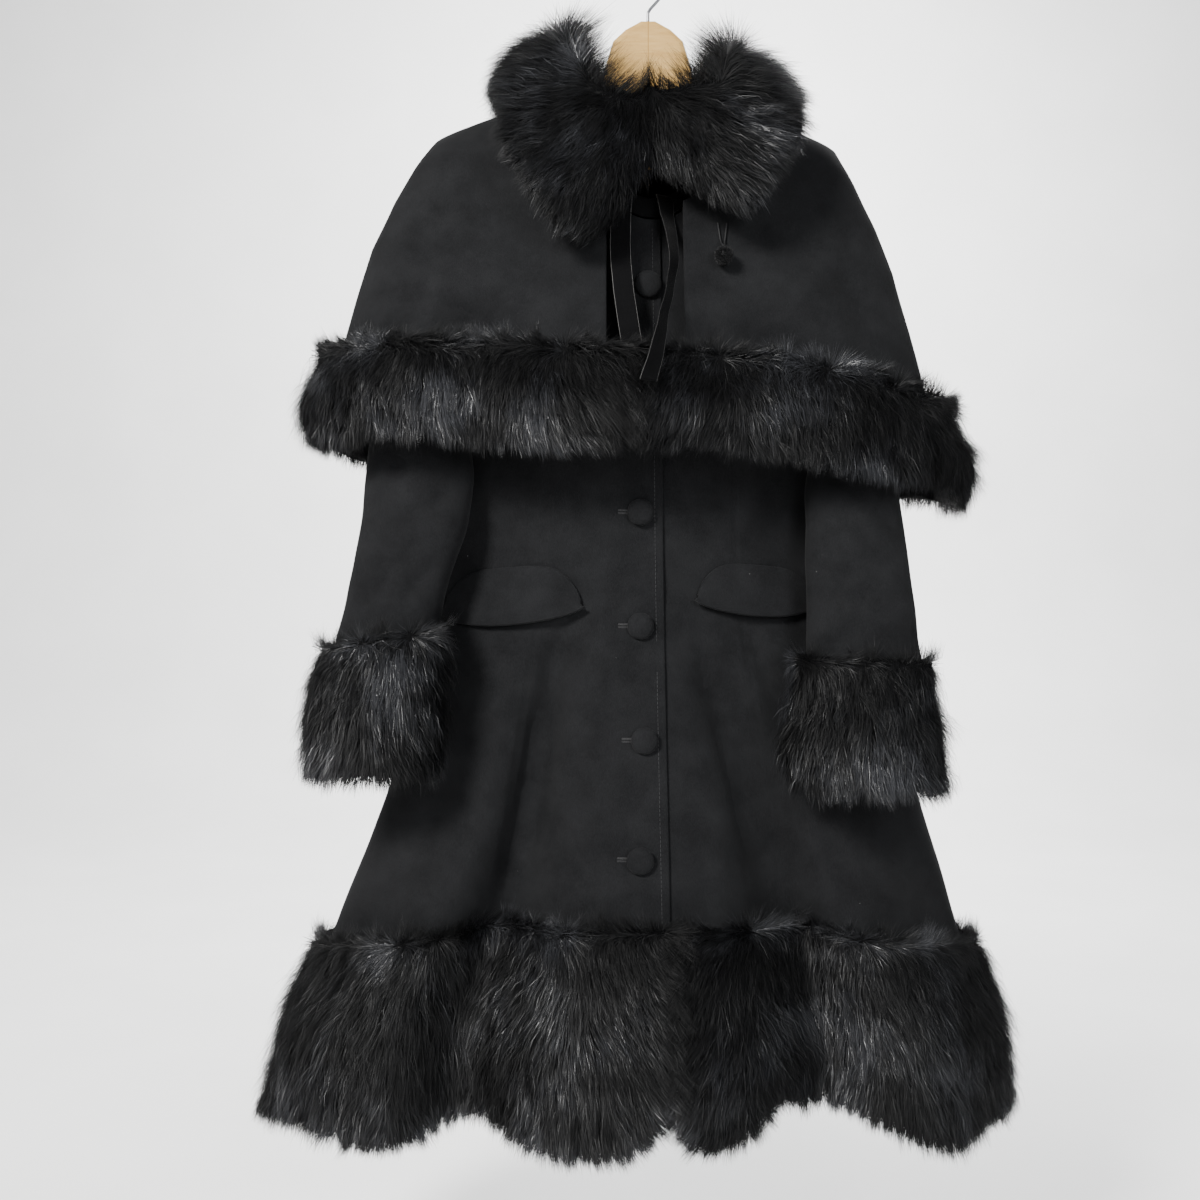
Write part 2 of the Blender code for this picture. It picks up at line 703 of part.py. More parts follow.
def ring_point(rings, share, turn, grow=0.0):
    """A point of a tube's ring: turn 0 is its outer side, 0.5 its inner side, 0.25 its front."""
    outer = Vector((along(rings, "outer_x", share), 0.0, along(rings, "outer_z", share)))
    inner = Vector((along(rings, "inner_x", share), 0.0, along(rings, "inner_z", share)))
    middle = (outer + inner) / 2
    half = outer - middle
    point = middle + half * (1 + grow / half.length) * cos(2 * pi * turn)
    point.y = along(rings, "middle_y", share)
    point.y -= (along(rings, "half_depth", share) + grow) * sin(2 * pi * turn)
    return point


def sleeve_surface(rings, side):
    """surface(u, v) of a sleeve, which starts as the armhole's ring and soon becomes its own."""

    def surface(u, v):
        turn = (u if side < 0 else 1 - u) % 1.0
        hold = smooth_step(1 - v * (len(rings) - 1) / 2)
        return ring_point(rings, v, turn).lerp(armhole_point(side, turn), hold)

    return surface


def cuff_surface(rings, side):
    def surface(u, v, grow):
        turn = (u if side < 0 else 1 - u) % 1.0
        return ring_point(rings, v, turn, grow)

    return surface


def make_sleeves(collection):
    for name, rings, cuff_rings, side in (
        ("right", SLEEVE_RIGHT_RINGS, CUFF_RIGHT_RINGS, -1),
        ("left", SLEEVE_LEFT_RINGS, CUFF_LEFT_RINGS, 1),
    ):
        sleeve = sleeve_surface(rings, side)
        wall(f"sleeve_{name}", "wool", sleeve, 16, 12, collection, closed=True)
        cuff = cuff_surface(cuff_rings, side)
        form = {"closed": True, "grown": True, "outside": fur_outside(CUFF_FUR_DEPTH, 6)}
        wall(f"cuff_fur_{name}", "fur", cuff, 18, 5, collection, **form)


# --- What lies on the coat ---
def front_point(x, z, lift=0.0):
    """A point that stands off the coat's front: off the lap where it covers, else off the left front."""
    angle = shell_angle(COAT_LEVELS, x, z)
    lap = lap_lift(x) if x < lap_edge(z) else 0.0
    return coat_point(-1, angle, z, lap + lift)


def make_flap(name, flap, collection):
    """A pocket flap: a curved top edge, a near straight lower one, standing off at the bottom."""

    def surface(u, v):
        x = mix(flap.outer_x, flap.inner_x, u if flap.outer_x < 0 else 1 - u)
        share = u if flap.outer_x < 0 else 1 - u
        top = mix(flap.outer_z, flap.inner_z, share) + flap.rise * (1 - (2 * share - 1) ** 4) ** 0.8
        low = mix(flap.outer_z, flap.inner_z, share) - flap.drop * 0.5 * sin(pi * share) ** 0.5
        z = mix(top, low - 0.004, v)
        return front_point(x, z, FLAP_GAP + FLAP_THICK + FLAP_LIFT * v * v)

    wall(name, "wool", surface, 12, 4, collection, inside=lambda u, v: FLAP_THICK)


# Each row is a ring of a button: its radius and its height, as shares of the whole.
ButtonRing = namedtuple("ButtonRing", "radius height")
BUTTON_RINGS = (
    ButtonRing(0.35, 0.97),
    ButtonRing(0.70, 0.80),
    ButtonRing(0.93, 0.46),
    ButtonRing(1.00, 0.18),
    ButtonRing(0.90, 0.00),
)


def make_button(place, collection):
    """A covered button: a low dome whose back follows the front it is sewn to."""
    around = 14
    vertices, faces = [], []
    near = []
    for dx, dz in ((-1, 0), (1, 0), (0, 0), (0, 1), (0, -1)):
        near.append(front_point(place.x + dx * BUTTON_RADIUS, place.z + dz * BUTTON_RADIUS))
    flat = max(-point.y for point in near)
    for ring in BUTTON_RINGS:
        for step in range(around):
            turn = 2 * pi * step / around
            x = place.x + BUTTON_RADIUS * ring.radius * sin(turn)
            z = place.z + BUTTON_RADIUS * ring.radius * cos(turn)
            seat = front_point(x, z)
            y = mix(seat.y, -flat, min(ring.height * 2, 1.0))
            vertices.append((x, y - BUTTON_GAP - BUTTON_HEIGHT * ring.height, seat.z))
    rings = len(BUTTON_RINGS)
    for ring in range(rings - 1):
        for step in range(around):
            a = ring * around + step
            b = ring * around + (step + 1) % around
            faces.append((a, b, b + around, a + around))
    for ring, y in ((0, -flat - BUTTON_GAP - BUTTON_HEIGHT), (rings - 1, -flat - BUTTON_GAP)):
        middle = front_point(place.x, place.z)
        vertices.append((place.x, min(y, middle.y - BUTTON_GAP), middle.z))
        for step in range(around):
            edge = (ring * around + step, ring * around + (step + 1) % around)
            faces.append((len(vertices) - 1, *edge))
    finish(place.name, "wool", vertices, faces, collection)


def neckline_point(turn):
    """A point of the coat's neckline, from the front middle round by the wearer's left."""
    limit = shell_angle(COAT_LEVELS, NECK_HALF_WIDTH - STEP, SHOULDER_TOP)
    spread = 4 * (turn % 1.0)
    if spread <= 1:
        face, angle = -1, limit * spread
    elif spread <= 3:
        face, angle = 1, limit * (2 - spread)
    else:
        face, angle = -1, limit * (spread - 4)
    return coat_point(face, angle, coat_top(face, angle))


def make_neck_band(collection):
    """A low velvet stand on the neckline, leaning in a little."""

    def surface(u, v):
        low = neckline_point(u)
        lean = Vector((-low.x, -low.y * 0.5, 0.0)) * BAND_LEAN
        top = low + lean + Vector((0.0, 0.0, BAND_HEIGHT))
        low = Vector((low.x * BAND_INSET, low.y, low.z + NECK_GAP))
        return top.lerp(low, v)

    wall("neck_band", "velvet", surface, 28, 2, collection, closed=True, inside=lambda u, v: VELVET)


def make_ribbon(name, points, collection):
    def surface(u, v):
        middle = Vector([along(points, column, v) for column in "xyz"])
        turn = radians(along(points, "turn", v))
        return middle + Vector((cos(turn), sin(turn), 0.0)) * (2 * u - 1) * RIBBON_HALF_WIDTH

    wall(name, "velvet", surface, 2, 16, collection, inside=lambda u, v: RIBBON_THICK)


# --- The collar ---
def collar_cut(share):
    """The neck point, the edge point and the half-thickness of the collar at a share of its way."""
    cut = Cut(*(along(COLLAR_CUTS, column, share) for column in Cut._fields))
    neck = Vector((cut.neck_x, cut.neck_y, cut.neck_z))
    edge = Vector((cut.edge_x, cut.edge_y, cut.edge_z))
    return neck, edge, cut.half_thick


def collar_middle(share):
    neck, edge, _ = collar_cut(share)
    return (neck + edge) / 2


def make_collar(collection):
    """One thick fur roll that lies round the open neck, from end to end."""
    stations, around = 28, 12
    vertices, faces = [], []
    for station in range(stations + 1):
        share = station / stations
        neck, edge, half_thick = collar_cut(share)
        way = collar_middle(min(share + STEP, 1.0)) - collar_middle(max(share - STEP, 0.0))
        half = (edge - neck) / 2
        out = way.cross(half).normalized()
        middle = (neck + edge) / 2 + out * half_thick
        shrink = sqrt(max(1 - (2 * share - 1) ** 24, 0.12))
        for step in range(around):
            turn = 2 * pi * step / around
            lumps = 1 + 0.04 * sin(9 * pi * share + 2 * turn)
            offset = half * cos(turn) + out * (half_thick * sin(turn))
            vertices.append(middle + offset * shrink * lumps)
    for station in range(stations):
        for step in range(around):
            a = station * around + step
            b = station * around + (step + 1) % around
            faces.append((a, b, b + around, a + around))
    faces.append(tuple(range(around)))
    faces.append(tuple(stations * around + step for step in range(around)))
    finish("collar_fur", "fur", vertices, faces, collection)


# --- The pompom on its strings ---
def cape_front(x, z, lift):
    """A point that stands off the front of the cape."""
    return cape_point(-1, shell_angle(CAPE_LEVELS, x, z), z, lift)


def pompom_middle():
    return cape_front(POMPOM_X, POMPOM_Z, POMPOM_RADIUS + POMPOM_GAP)


def make_pompom(collection):
    """A small ball of three-sided locks that share one core."""
    bm = bmesh.new()
    bmesh.ops.create_icosphere(bm, subdivisions=2, radius=POMPOM_CORE)
    for index, face in enumerate(list(bm.faces)):
        length = POMPOM_RADIUS * (0.9 + 0.1 * sin(2.4 * index))
        tip = bm.verts.new(face.calc_center_median().normalized() * length)
        corners = list(face.verts)
        bm.faces.remove(face)
        for corner in range(3):
            bm.faces.new((corners[corner], corners[(corner + 1) % 3], tip))
    bmesh.ops.translate(bm, verts=bm.verts, vec=pompom_middle())
    vertices = [vert.co.copy() for vert in bm.verts]
    bm.verts.index_update()
    faces = [tuple(vert.index for vert in face.verts) for face in bm.faces]
    bm.free()
    finish("pompom", "velvet", vertices, faces, collection)


def make_strings(collection):
    """One cord, doubled: down from under the collar to the pompom and up again."""
    low = pompom_middle() + Vector((0.0, 0.0, POMPOM_RADIUS + STRING_RADIUS + SEAM))
    route = []
    for step in range(21):
        turn = 2 * step / 20 - 1
        rise = STRING_REACH * abs(turn) ** 1.35
        point = cape_front(low.x + STRING_SPREAD * turn, low.z + rise, STRING_LIFT)
        point.y = mix(low.y, point.y, smooth_step(2 * abs(turn)))
        route.append(point)
    tube("pompom_strings", "velvet", route, STRING_RADIUS, collection)


def tube(name, look, route, radius, collection):
    curve = bpy.data.curves.new(name, "CURVE")
    curve.dimensions = "3D"
    curve.bevel_depth = radius
    curve.bevel_resolution = 2
    curve.use_fill_caps = True
    spline = curve.splines.new("POLY")
    spline.points.add(len(route) - 1)
    for knot, point in zip(spline.points, route):
        knot.co = (*point, 1.0)
    spline.use_smooth = True
    curve.materials.append(material(look))
    obj = bpy.data.objects.new(name, curve)
    collection.objects.link(obj)
    return obj


# --- The hanger ---
def make_hook(collection):
    """A question-mark hook: a stem, a bend to the side and three quarters of a ring."""
    steps = 20
    route = [Vector((point.x, 0.0, point.z)) for point in HOOK_STEM]
    for step in range(steps + 1):
        turn = radians(mix(HOOK_START, HOOK_END, step / steps))
        route.append(Vector((HOOK_RADIUS * cos(turn), 0.0, HOOK_CENTRE + HOOK_RADIUS * sin(turn))))
    tube("hanger_hook", "steel", route, WIRE_RADIUS, collection)


def make_wood(collection):
    """The wooden hanger: a raised middle for the hook, and two arms inside the coat's shoulders."""
    seat = CLOTH + ARM_GAP
    steps = 6
    top = [(point.x, point.z) for point in WOOD_NECK]
    for step in range(steps + 1):
        x = mix(WOOD_ARM_START, WOOD_ARM_END, step / steps)
        top.append((x, shoulder_line(x, SHOULDER_TOP) - seat))

    def edge(side):
        return [(side * x, tilted(side * x, z) if x > WOOD_TILT_FROM else z) for x, z in top]

    def underside(side):
        arm = edge(side)[len(WOOD_NECK):]
        return [(x, z - (WOOD_ARM_HEIGHT if abs(x) < WOOD_TIP_FROM else WOOD_TIP_HEIGHT)) for x, z in arm]

    right, left = underside(-1), underside(1)
    middle = [(WOOD_LOW_HALF_WIDTH, left[0][1] + 0.002), (-WOOD_LOW_HALF_WIDTH, right[0][1] + 0.002)]
    outline = edge(1) + left[::-1] + middle + right + edge(-1)[:0:-1]
    curve = bpy.data.curves.new("hanger_wood", "CURVE")
    curve.dimensions = "2D"
    curve.fill_mode = "BOTH"
    curve.extrude = WOOD_HALF_THICK - WOOD_ROUND
    curve.bevel_depth = WOOD_ROUND
    curve.bevel_resolution = 1
    curve.offset = -WOOD_ROUND
    spline = curve.splines.new("POLY")
    spline.points.add(len(outline) - 1)
    for knot, (x, z) in zip(spline.points, outline):
        knot.co = (x, z, 0.0, 1.0)
    spline.use_cyclic_u = True
    curve.materials.append(material("wood"))
    obj = bpy.data.objects.new("hanger_wood", curve)
    obj.rotation_euler = (radians(90), 0.0, 0.0)
    collection.objects.link(obj)


# --- The whole ---
def material(name):
    if name in bpy.data.materials:
        return bpy.data.materials[name]
    look = LOOKS[name]
    made = bpy.data.materials.new(name)
    made.use_nodes = True
    shader = made.node_tree.nodes["Principled BSDF"]
    shader.inputs["Base Color"].default_value = (*look.colour, 1.0)
    shader.inputs["Roughness"].default_value = look.roughness
    shader.inputs["Metallic"].default_value = look.metallic
    return made


def main():
    for obj in list(bpy.data.objects):
        bpy.data.objects.remove(obj, do_unlink=True)
    coat = bpy.data.collections.new("caped_long_coat")
    bpy.context.scene.collection.children.link(coat)
    make_coat(coat)
    make_hem_fur(coat)
    make_sleeves(coat)
    make_flap("pocket_flap_right", FLAP_RIGHT, coat)
    make_flap("pocket_flap_left", FLAP_LEFT, coat)
    for place in BUTTONS:
        make_button(place, coat)
    make_neck_band(coat)
    make_cape(coat)
    make_cape_fur(coat)
    make_collar(coat)
    make_ribbon("ribbon_right", RIBBON_RIGHT_POINTS, coat)
    make_ribbon("ribbon_left", RIBBON_LEFT_POINTS, coat)
    make_pompom(coat)
    make_strings(coat)
    make_wood(coat)
    make_hook(coat)


main()
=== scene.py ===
"""The looks of a caped long coat with fur edges on a wooden hanger.

Metres, +Z up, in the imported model's frame: the origin is the inside top of the hook and the coat's
front faces -Y. "Right" and "left" are the wearer's, so the right side is at -X.
"""

from collections import namedtuple
from math import cos, pi, radians, sin

import bpy
import numpy as np
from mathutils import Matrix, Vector


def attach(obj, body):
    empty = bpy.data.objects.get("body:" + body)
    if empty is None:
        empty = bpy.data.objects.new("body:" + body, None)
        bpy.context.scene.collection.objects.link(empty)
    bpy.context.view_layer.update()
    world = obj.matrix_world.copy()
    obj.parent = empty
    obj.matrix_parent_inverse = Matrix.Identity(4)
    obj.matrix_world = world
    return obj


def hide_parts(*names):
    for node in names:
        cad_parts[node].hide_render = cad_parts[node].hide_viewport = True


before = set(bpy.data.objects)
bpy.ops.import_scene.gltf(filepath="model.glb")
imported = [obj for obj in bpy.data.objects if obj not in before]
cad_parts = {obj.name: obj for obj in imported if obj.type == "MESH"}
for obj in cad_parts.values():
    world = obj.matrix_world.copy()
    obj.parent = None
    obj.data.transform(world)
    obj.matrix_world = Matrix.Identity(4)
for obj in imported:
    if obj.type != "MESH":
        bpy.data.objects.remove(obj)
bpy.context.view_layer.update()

# --- Sizes that are the same in the solids ---
CLOTH = 0.002
VELVET = 0.0015
SEAM = 0.0003
HALF_SEAM = SEAM / 2
FUR_SEAM = 0.0012
ARMHOLE_GAP = 0.0018
NECK_GAP = 0.0026
BUTTON_GAP = 0.0008
NECK_HALF_WIDTH = 0.076
SHOULDER_TOP = -0.189
SHOULDER_FALL = 0.16
SHOULDER_DROOP = 0.9
SHOULDER_ROUND = 0.04
NECK_FRONT = -0.291
NECK_BACK = -0.200
ARMHOLE_LOW = -0.392
ARMHOLE_ANGLE = radians(55)
FUR_TOP_FRONT = -0.928
FUR_TOP_SIDE = -0.966
FUR_TOP_BACK = -0.950
HEM = -1.136
HEM_FRONT_RISE = 0.016
HEM_WAVE = 0.006
HANG_TILT = 0.05
TILT_FROM = -0.80
TILT_FULL = -0.45
LAP_EDGE_TOP = 0.008
LAP_EDGE_LOW = 0.018
UNDERLAP = 0.045
LAP_RAMP = 0.03
LAP_GAP = 0.0011
CAPE_SHOULDER_TOP = -0.168
CAPE_NECK_HALF_WIDTH = 0.082
CAPE_FULLNESS = 0.5
BACK_FULLNESS = 0.7
CAPE_NECK_FRONT = -0.283
CAPE_NECK_BACK = -0.186
CAPE_HEM_FRONT = -0.422
CAPE_HEM_SIDE = -0.424
CAPE_HEM_BACK = -0.448
CAPE_LEFT_DROP = 0.026
CAPE_FUR_HEIGHT = 0.090
CAPE_EDGE_RIGHT = -0.041
CAPE_EDGE_LEFT = 0.028
CAPE_FUR_MEET = -0.013
HEM_FUR_DEPTH = 0.027
CAPE_FUR_DEPTH = 0.033
CUFF_FUR_DEPTH = 0.021
FUR_EDGE_SHARE = 0.45
BUTTON_RADIUS = 0.0123
BUTTON_HEIGHT = 0.0065
BAND_HEIGHT = 0.021
BAND_LEAN = 0.05
BAND_INSET = 0.962
RIBBON_HALF_WIDTH = 0.0092
RIBBON_THICK = 0.0011
FLAP_THICK = 0.0028
FLAP_LIFT = 0.006
FLAP_GAP = 0.0012
POMPOM_RADIUS = 0.0095
POMPOM_GAP = 0.0012
POMPOM_X = 0.0630
POMPOM_Z = -0.3290
STRING_RADIUS = 0.0007
STRING_REACH = 0.026
STRING_SPREAD = 0.0040
STRING_LIFT = 0.0016

# --- Sizes and counts of the looks ---
# Cloth: its seams, creases and stitches.
WOOL_THICK = CLOTH - 0.0004
SEAM_CLOSE = 0.0005
SEAM_REACH = 0.004
SEAM_DEPTH = 0.0008
SEAM_WIDTH = 0.0016
CREASE_DEPTH = 1.6
UNEVEN_RISE = 0.0005
UNEVEN_SIZE = 0.09
SELVEDGE = 0.022
HOLE_AWAY = 0.0145
HOLE_LENGTH = 0.0115
HOLE_STITCHES = 15
LAP_STITCH_TOP = -0.300
LAP_STITCH_LOW = -0.920
LAP_STITCH_INSET = 0.0075
LAP_STITCH_LENGTH = 0.0026
LAP_STITCH_STEP = 0.0038
# Fur: the pelt, its locks and how many curved and straight hairs it has.
FUR_CORE = 0.70
LUMP_RISE = 0.0030
PELT_CLEAR = 0.013
CUFF_OVERLAP = 0.005
BAND_OVERLAP = 0.004
PARTING_REACH = 0.10
TUFT_HEIGHT = 0.010
LOCK_SIZE = 0.009
LOCK_PULL = 0.50
LOCK_UNEVEN = 0.16
HAIR_WIDTH = 0.00042
BLADE_ROLL = 0.40
BEND_PLACE = 0.45
WAIST_SHARE = 0.8
LENGTH_SPREAD = (0.70, 1.12)
WIDTH_SPREAD = (0.6, 1.35)
LIFT_SPREAD = 0.13
WAY_SPREAD = 0.10
LOCK_SPREAD = 0.13
BACK_LENGTH = 0.72
HEM_HAIRS = (36000, 64000)
CAPE_HAIRS = (18000, 38000)
CUFF_HAIRS = (8000, 16000)
COLLAR_HAIRS = (26000, 50000)
COLLAR_HAIRED = (-0.34, 1.08)
COLLAR_CORE = 0.72
COLLAR_CORE_WIDTH = 0.86
COLLAR_NECK_SHARE = 0.84
COLLAR_END_SHARE = 0.80
COLLAR_BACK_DROP = 0.014
COLLAR_STEP = 0.0005
COLLAR_FRONT_X = -0.004
COLLAR_FAN = (COLLAR_FRONT_X, -0.080, -0.170)
YARN_ENDS = 2600
YARN_HALF_WIDTH = 0.00022
# Colours, and the photograph's view.
BLACK = (0.002, 0.002, 0.0022)
WOOL_DARK = (0.0040, 0.0041, 0.0044)
WOOL_LIGHT = (0.0098, 0.0100, 0.0106)
PHOTO_LENS = 37.23
PHOTO_PLACE = (-0.0467, -1.207, -0.637)
COAT_MIDDLE = (0.0, 0.0, -0.6)


def table(kind, *rows):
    """Rows of numbers as a tuple of this named kind."""
    return tuple(kind(*row) for row in rows)


Level = namedtuple("Level", "z middle half_width front back")
COAT_LEVELS = table(
    Level,
    (-0.180, -0.004, 0.198, 0.066, 0.036),
    (-0.240, -0.004, 0.199, 0.068, 0.038),
    (-0.320, -0.005, 0.200, 0.080, 0.040),
    (-0.400, -0.006, 0.196, 0.080, 0.038),
    (-0.500, -0.008, 0.188, 0.070, 0.034),
    (-0.600, -0.008, 0.193, 0.063, 0.034),
    (-0.720, -0.002, 0.221, 0.072, 0.036),
    (-0.820, 0.004, 0.256, 0.086, 0.038),
    (-0.950, -0.002, 0.300, 0.104, 0.042),
    (-1.050, -0.006, 0.331, 0.116, 0.046),
    (-1.150, -0.014, 0.352, 0.124, 0.048),
)
CAPE_LEVELS = table(
    Level,
    (-0.165, -0.012, 0.192, 0.080, 0.046),
    (-0.205, -0.012, 0.194, 0.081, 0.047),
    (-0.240, -0.013, 0.211, 0.086, 0.050),
    (-0.275, -0.014, 0.229, 0.091, 0.052),
    (-0.320, -0.016, 0.248, 0.099, 0.054),
    (-0.390, -0.017, 0.267, 0.113, 0.057),
    (-0.450, -0.016, 0.281, 0.123, 0.060),
    (-0.540, -0.012, 0.296, 0.130, 0.062),
)
Fold = namedtuple("Fold", "upper_angle lower_angle width rise upper_z lower_z")
COAT_FRONT_FOLDS = table(
    Fold,
    (-20, -28, 9, -0.050, -0.60, -0.98),
    (-42, -52, 15, 0.016, -0.78, -1.02),
    (-4, 1, 20, 0.016, -0.66, -1.05),
    (17, 27, 9, -0.046, -0.62, -0.98),
    (40, 51, 13, 0.018, -0.78, -1.02),
    (64, 70, 9, -0.010, -0.74, -1.02),
)
COAT_BACK_FOLDS = table(
    Fold,
    (-48, -56, 13, -0.018, -0.66, -1.05),
    (-20, -24, 12, 0.012, -0.62, -1.05),
    (4, 3, 10, -0.020, -0.70, -1.05),
    (24, 28, 12, 0.014, -0.60, -1.05),
    (50, 55, 12, -0.016, -0.68, -1.05),
)
CAPE_FRONT_FOLDS = table(
    Fold,
    (-40, -52, 12, 0.007, -0.26, -0.45),
    (-24, -30, 9, -0.006, -0.25, -0.43),
    (28, 34, 11, 0.005, -0.26, -0.45),
    (54, 60, 10, -0.006, -0.25, -0.44),
)
CAPE_BACK_FOLDS = table(
    Fold,
    (-46, -50, 13, -0.010, -0.25, -0.45),
    (-12, -14, 12, 0.007, -0.24, -0.45),
    (30, 36, 13, -0.009, -0.25, -0.45),
)
HemLift = namedtuple("HemLift", "angle width rise")
HEM_LIFTS = (HemLift(-26, 10, 0.014), HemLift(31, 12, 0.026))

Ring = namedtuple("Ring", "outer_x outer_z inner_x inner_z middle_y half_depth")
SLEEVE_RIGHT_RINGS = table(
    Ring,
    (-0.184, -0.207, -0.203, -0.394, 0.000, 0.040),
    (-0.208, -0.238, -0.208, -0.401, -0.010, 0.038),
    (-0.235, -0.300, -0.207, -0.414, -0.024, 0.034),
    (-0.250, -0.380, -0.198, -0.434, -0.038, 0.030),
    (-0.258, -0.450, -0.176, -0.470, -0.050, 0.027),
    (-0.263, -0.520, -0.163, -0.518, -0.060, 0.026),
    (-0.268, -0.580, -0.169, -0.570, -0.068, 0.026),
    (-0.278, -0.635, -0.185, -0.622, -0.074, 0.027),
    (-0.288, -0.680, -0.194, -0.664, -0.078, 0.028),
)
SLEEVE_LEFT_RINGS = table(
    Ring,
    (0.172, -0.215, 0.195, -0.402, 0.000, 0.040),
    (0.190, -0.252, 0.199, -0.410, -0.010, 0.038),
    (0.209, -0.316, 0.198, -0.424, -0.024, 0.034),
    (0.219, -0.390, 0.187, -0.444, -0.038, 0.030),
    (0.224, -0.460, 0.160, -0.480, -0.050, 0.027),
    (0.228, -0.530, 0.144, -0.525, -0.060, 0.026),
    (0.234, -0.600, 0.141, -0.600, -0.076, 0.026),
    (0.238, -0.650, 0.140, -0.655, -0.086, 0.025),
    (0.241, -0.694, 0.139, -0.690, -0.094, 0.024),
)
CUFF_RIGHT_RINGS = table(
    Ring,
    (-0.2885, -0.6815, -0.1943, -0.6655, -0.078, 0.028),
    (-0.297, -0.730, -0.205, -0.724, -0.082, 0.030),
    (-0.300, -0.803, -0.210, -0.800, -0.086, 0.031),
)
CUFF_LEFT_RINGS = table(
    Ring,
    (0.2411, -0.6949, 0.1390, -0.6909, -0.094, 0.024),
    (0.242, -0.750, 0.134, -0.750, -0.102, 0.026),
    (0.243, -0.810, 0.139, -0.806, -0.108, 0.027),
)
Cut = namedtuple("Cut", "neck_x neck_y neck_z edge_x edge_y edge_z half_thick")
COLLAR_CUTS = table(
    Cut,
    (-0.0060, -0.088, -0.168, -0.0065, -0.093, -0.263, 0.016),
    (-0.0280, -0.091, -0.180, -0.0360, -0.102, -0.314, 0.021),
    (-0.0570, -0.088, -0.172, -0.0800, -0.108, -0.332, 0.024),
    (-0.0720, -0.055, -0.136, -0.1210, -0.107, -0.278, 0.025),
    (-0.0730, -0.014, -0.120, -0.1300, -0.074, -0.2075, 0.027),
    (-0.0690, 0.020, -0.116, -0.1210, 0.010, -0.1800, 0.026),
    (-0.0480, 0.036, -0.124, -0.0880, 0.060, -0.184, 0.025),
    (-0.0040, 0.042, -0.130, -0.0040, 0.068, -0.190, 0.020),
    (0.0400, 0.036, -0.126, 0.0820, 0.060, -0.188, 0.025),
    (0.0640, 0.020, -0.120, 0.1150, 0.010, -0.190, 0.023),
    (0.0690, -0.014, -0.126, 0.1230, -0.072, -0.214, 0.022),
    (0.0690, -0.055, -0.142, 0.1200, -0.107, -0.266, 0.022),
    (0.0590, -0.088, -0.172, 0.0840, -0.108, -0.310, 0.024),
    (0.0260, -0.091, -0.180, 0.0360, -0.100, -0.286, 0.021),
    (-0.0040, -0.088, -0.168, -0.0040, -0.093, -0.263, 0.016),
)
RibbonPoint = namedtuple("RibbonPoint", "x y z turn")
RIBBON_RIGHT_POINTS = table(
    RibbonPoint,
    (-0.0270, -0.0764, -0.268, -8),
    (-0.0278, -0.0860, -0.292, -6),
    (-0.0285, -0.0990, -0.325, 4),
    (-0.0262, -0.1080, -0.358, 8),
    (-0.0225, -0.1110, -0.386, 0),
    (-0.0190, -0.1125, -0.409, -6),
)
RIBBON_LEFT_POINTS = table(
    RibbonPoint,
    (0.0120, -0.0756, -0.268, 30),
    (0.0150, -0.0890, -0.295, 48),
    (0.0190, -0.1060, -0.328, 58),
    (0.0150, -0.1220, -0.362, 66),
    (0.0080, -0.1440, -0.394, 62),
    (0.0020, -0.1620, -0.424, 48),
    (-0.0060, -0.1690, -0.453, 36),
)
Flap = namedtuple("Flap", "outer_x outer_z inner_x inner_z rise drop")
FLAP_RIGHT = Flap(-0.197, -0.652, -0.0640, -0.640, 0.036, 0.024)
FLAP_LEFT = Flap(0.156, -0.636, 0.0430, -0.631, 0.032, 0.024)
ButtonPlace = namedtuple("ButtonPlace", "name x z")
BUTTONS = table(
    ButtonPlace,
    ("button_1", -0.0030, -0.352),
    ("button_2", -0.0065, -0.455),
    ("button_3", -0.0095, -0.557),
    ("button_4", -0.0095, -0.661),
    ("button_5", -0.0065, -0.764),
    ("button_6", -0.0110, -0.868),
)

# --- The looks: creases in the cloth, as soft troughs (negative rise) or ridges between two points ---
Crease = namedtuple("Crease", "x1 z1 x2 z2 width rise")
FRONT_CREASES = table(
    Crease,
    (-0.076, -0.640, -0.138, -0.935, 0.012, -0.0046),
    (-0.050, -0.660, -0.104, -0.925, 0.014, 0.0022),
    (0.042, -0.655, 0.100, -0.890, 0.011, -0.0036),
    (0.082, -0.635, 0.186, -0.925, 0.013, -0.0038),
    (-0.150, -0.560, -0.105, -0.620, 0.012, -0.0016),
    (-0.125, -0.690, -0.095, -0.800, 0.016, -0.0022),
    (-0.185, -0.700, -0.205, -0.840, 0.020, -0.0024),
    (-0.060, -0.700, -0.075, -0.900, 0.022, 0.0020),
    (0.070, -0.690, 0.100, -0.830, 0.015, -0.0020),
    (0.120, -0.720, 0.165, -0.880, 0.018, 0.0022),
    (0.180, -0.760, 0.225, -0.900, 0.016, -0.0024),
    (-0.010, -0.580, 0.020, -0.640, 0.010, -0.0010),
    (-0.045, -0.500, -0.050, -0.600, 0.010, -0.0010),
    (0.040, -0.800, 0.055, -0.920, 0.016, -0.0018),
)
BACK_CREASES = table(
    Crease,
    (-0.120, -0.480, -0.080, -0.560, 0.016, -0.0022),
    (0.110, -0.470, 0.075, -0.545, 0.014, -0.0020),
    (-0.060, -0.620, -0.085, -0.860, 0.020, -0.0024),
    (0.070, -0.640, 0.100, -0.890, 0.022, -0.0026),
    (0.000, -0.700, 0.008, -0.920, 0.018, 0.0020),
    (-0.160, -0.700, -0.200, -0.900, 0.018, 0.0022),
    (0.165, -0.720, 0.215, -0.920, 0.016, 0.0022),
)
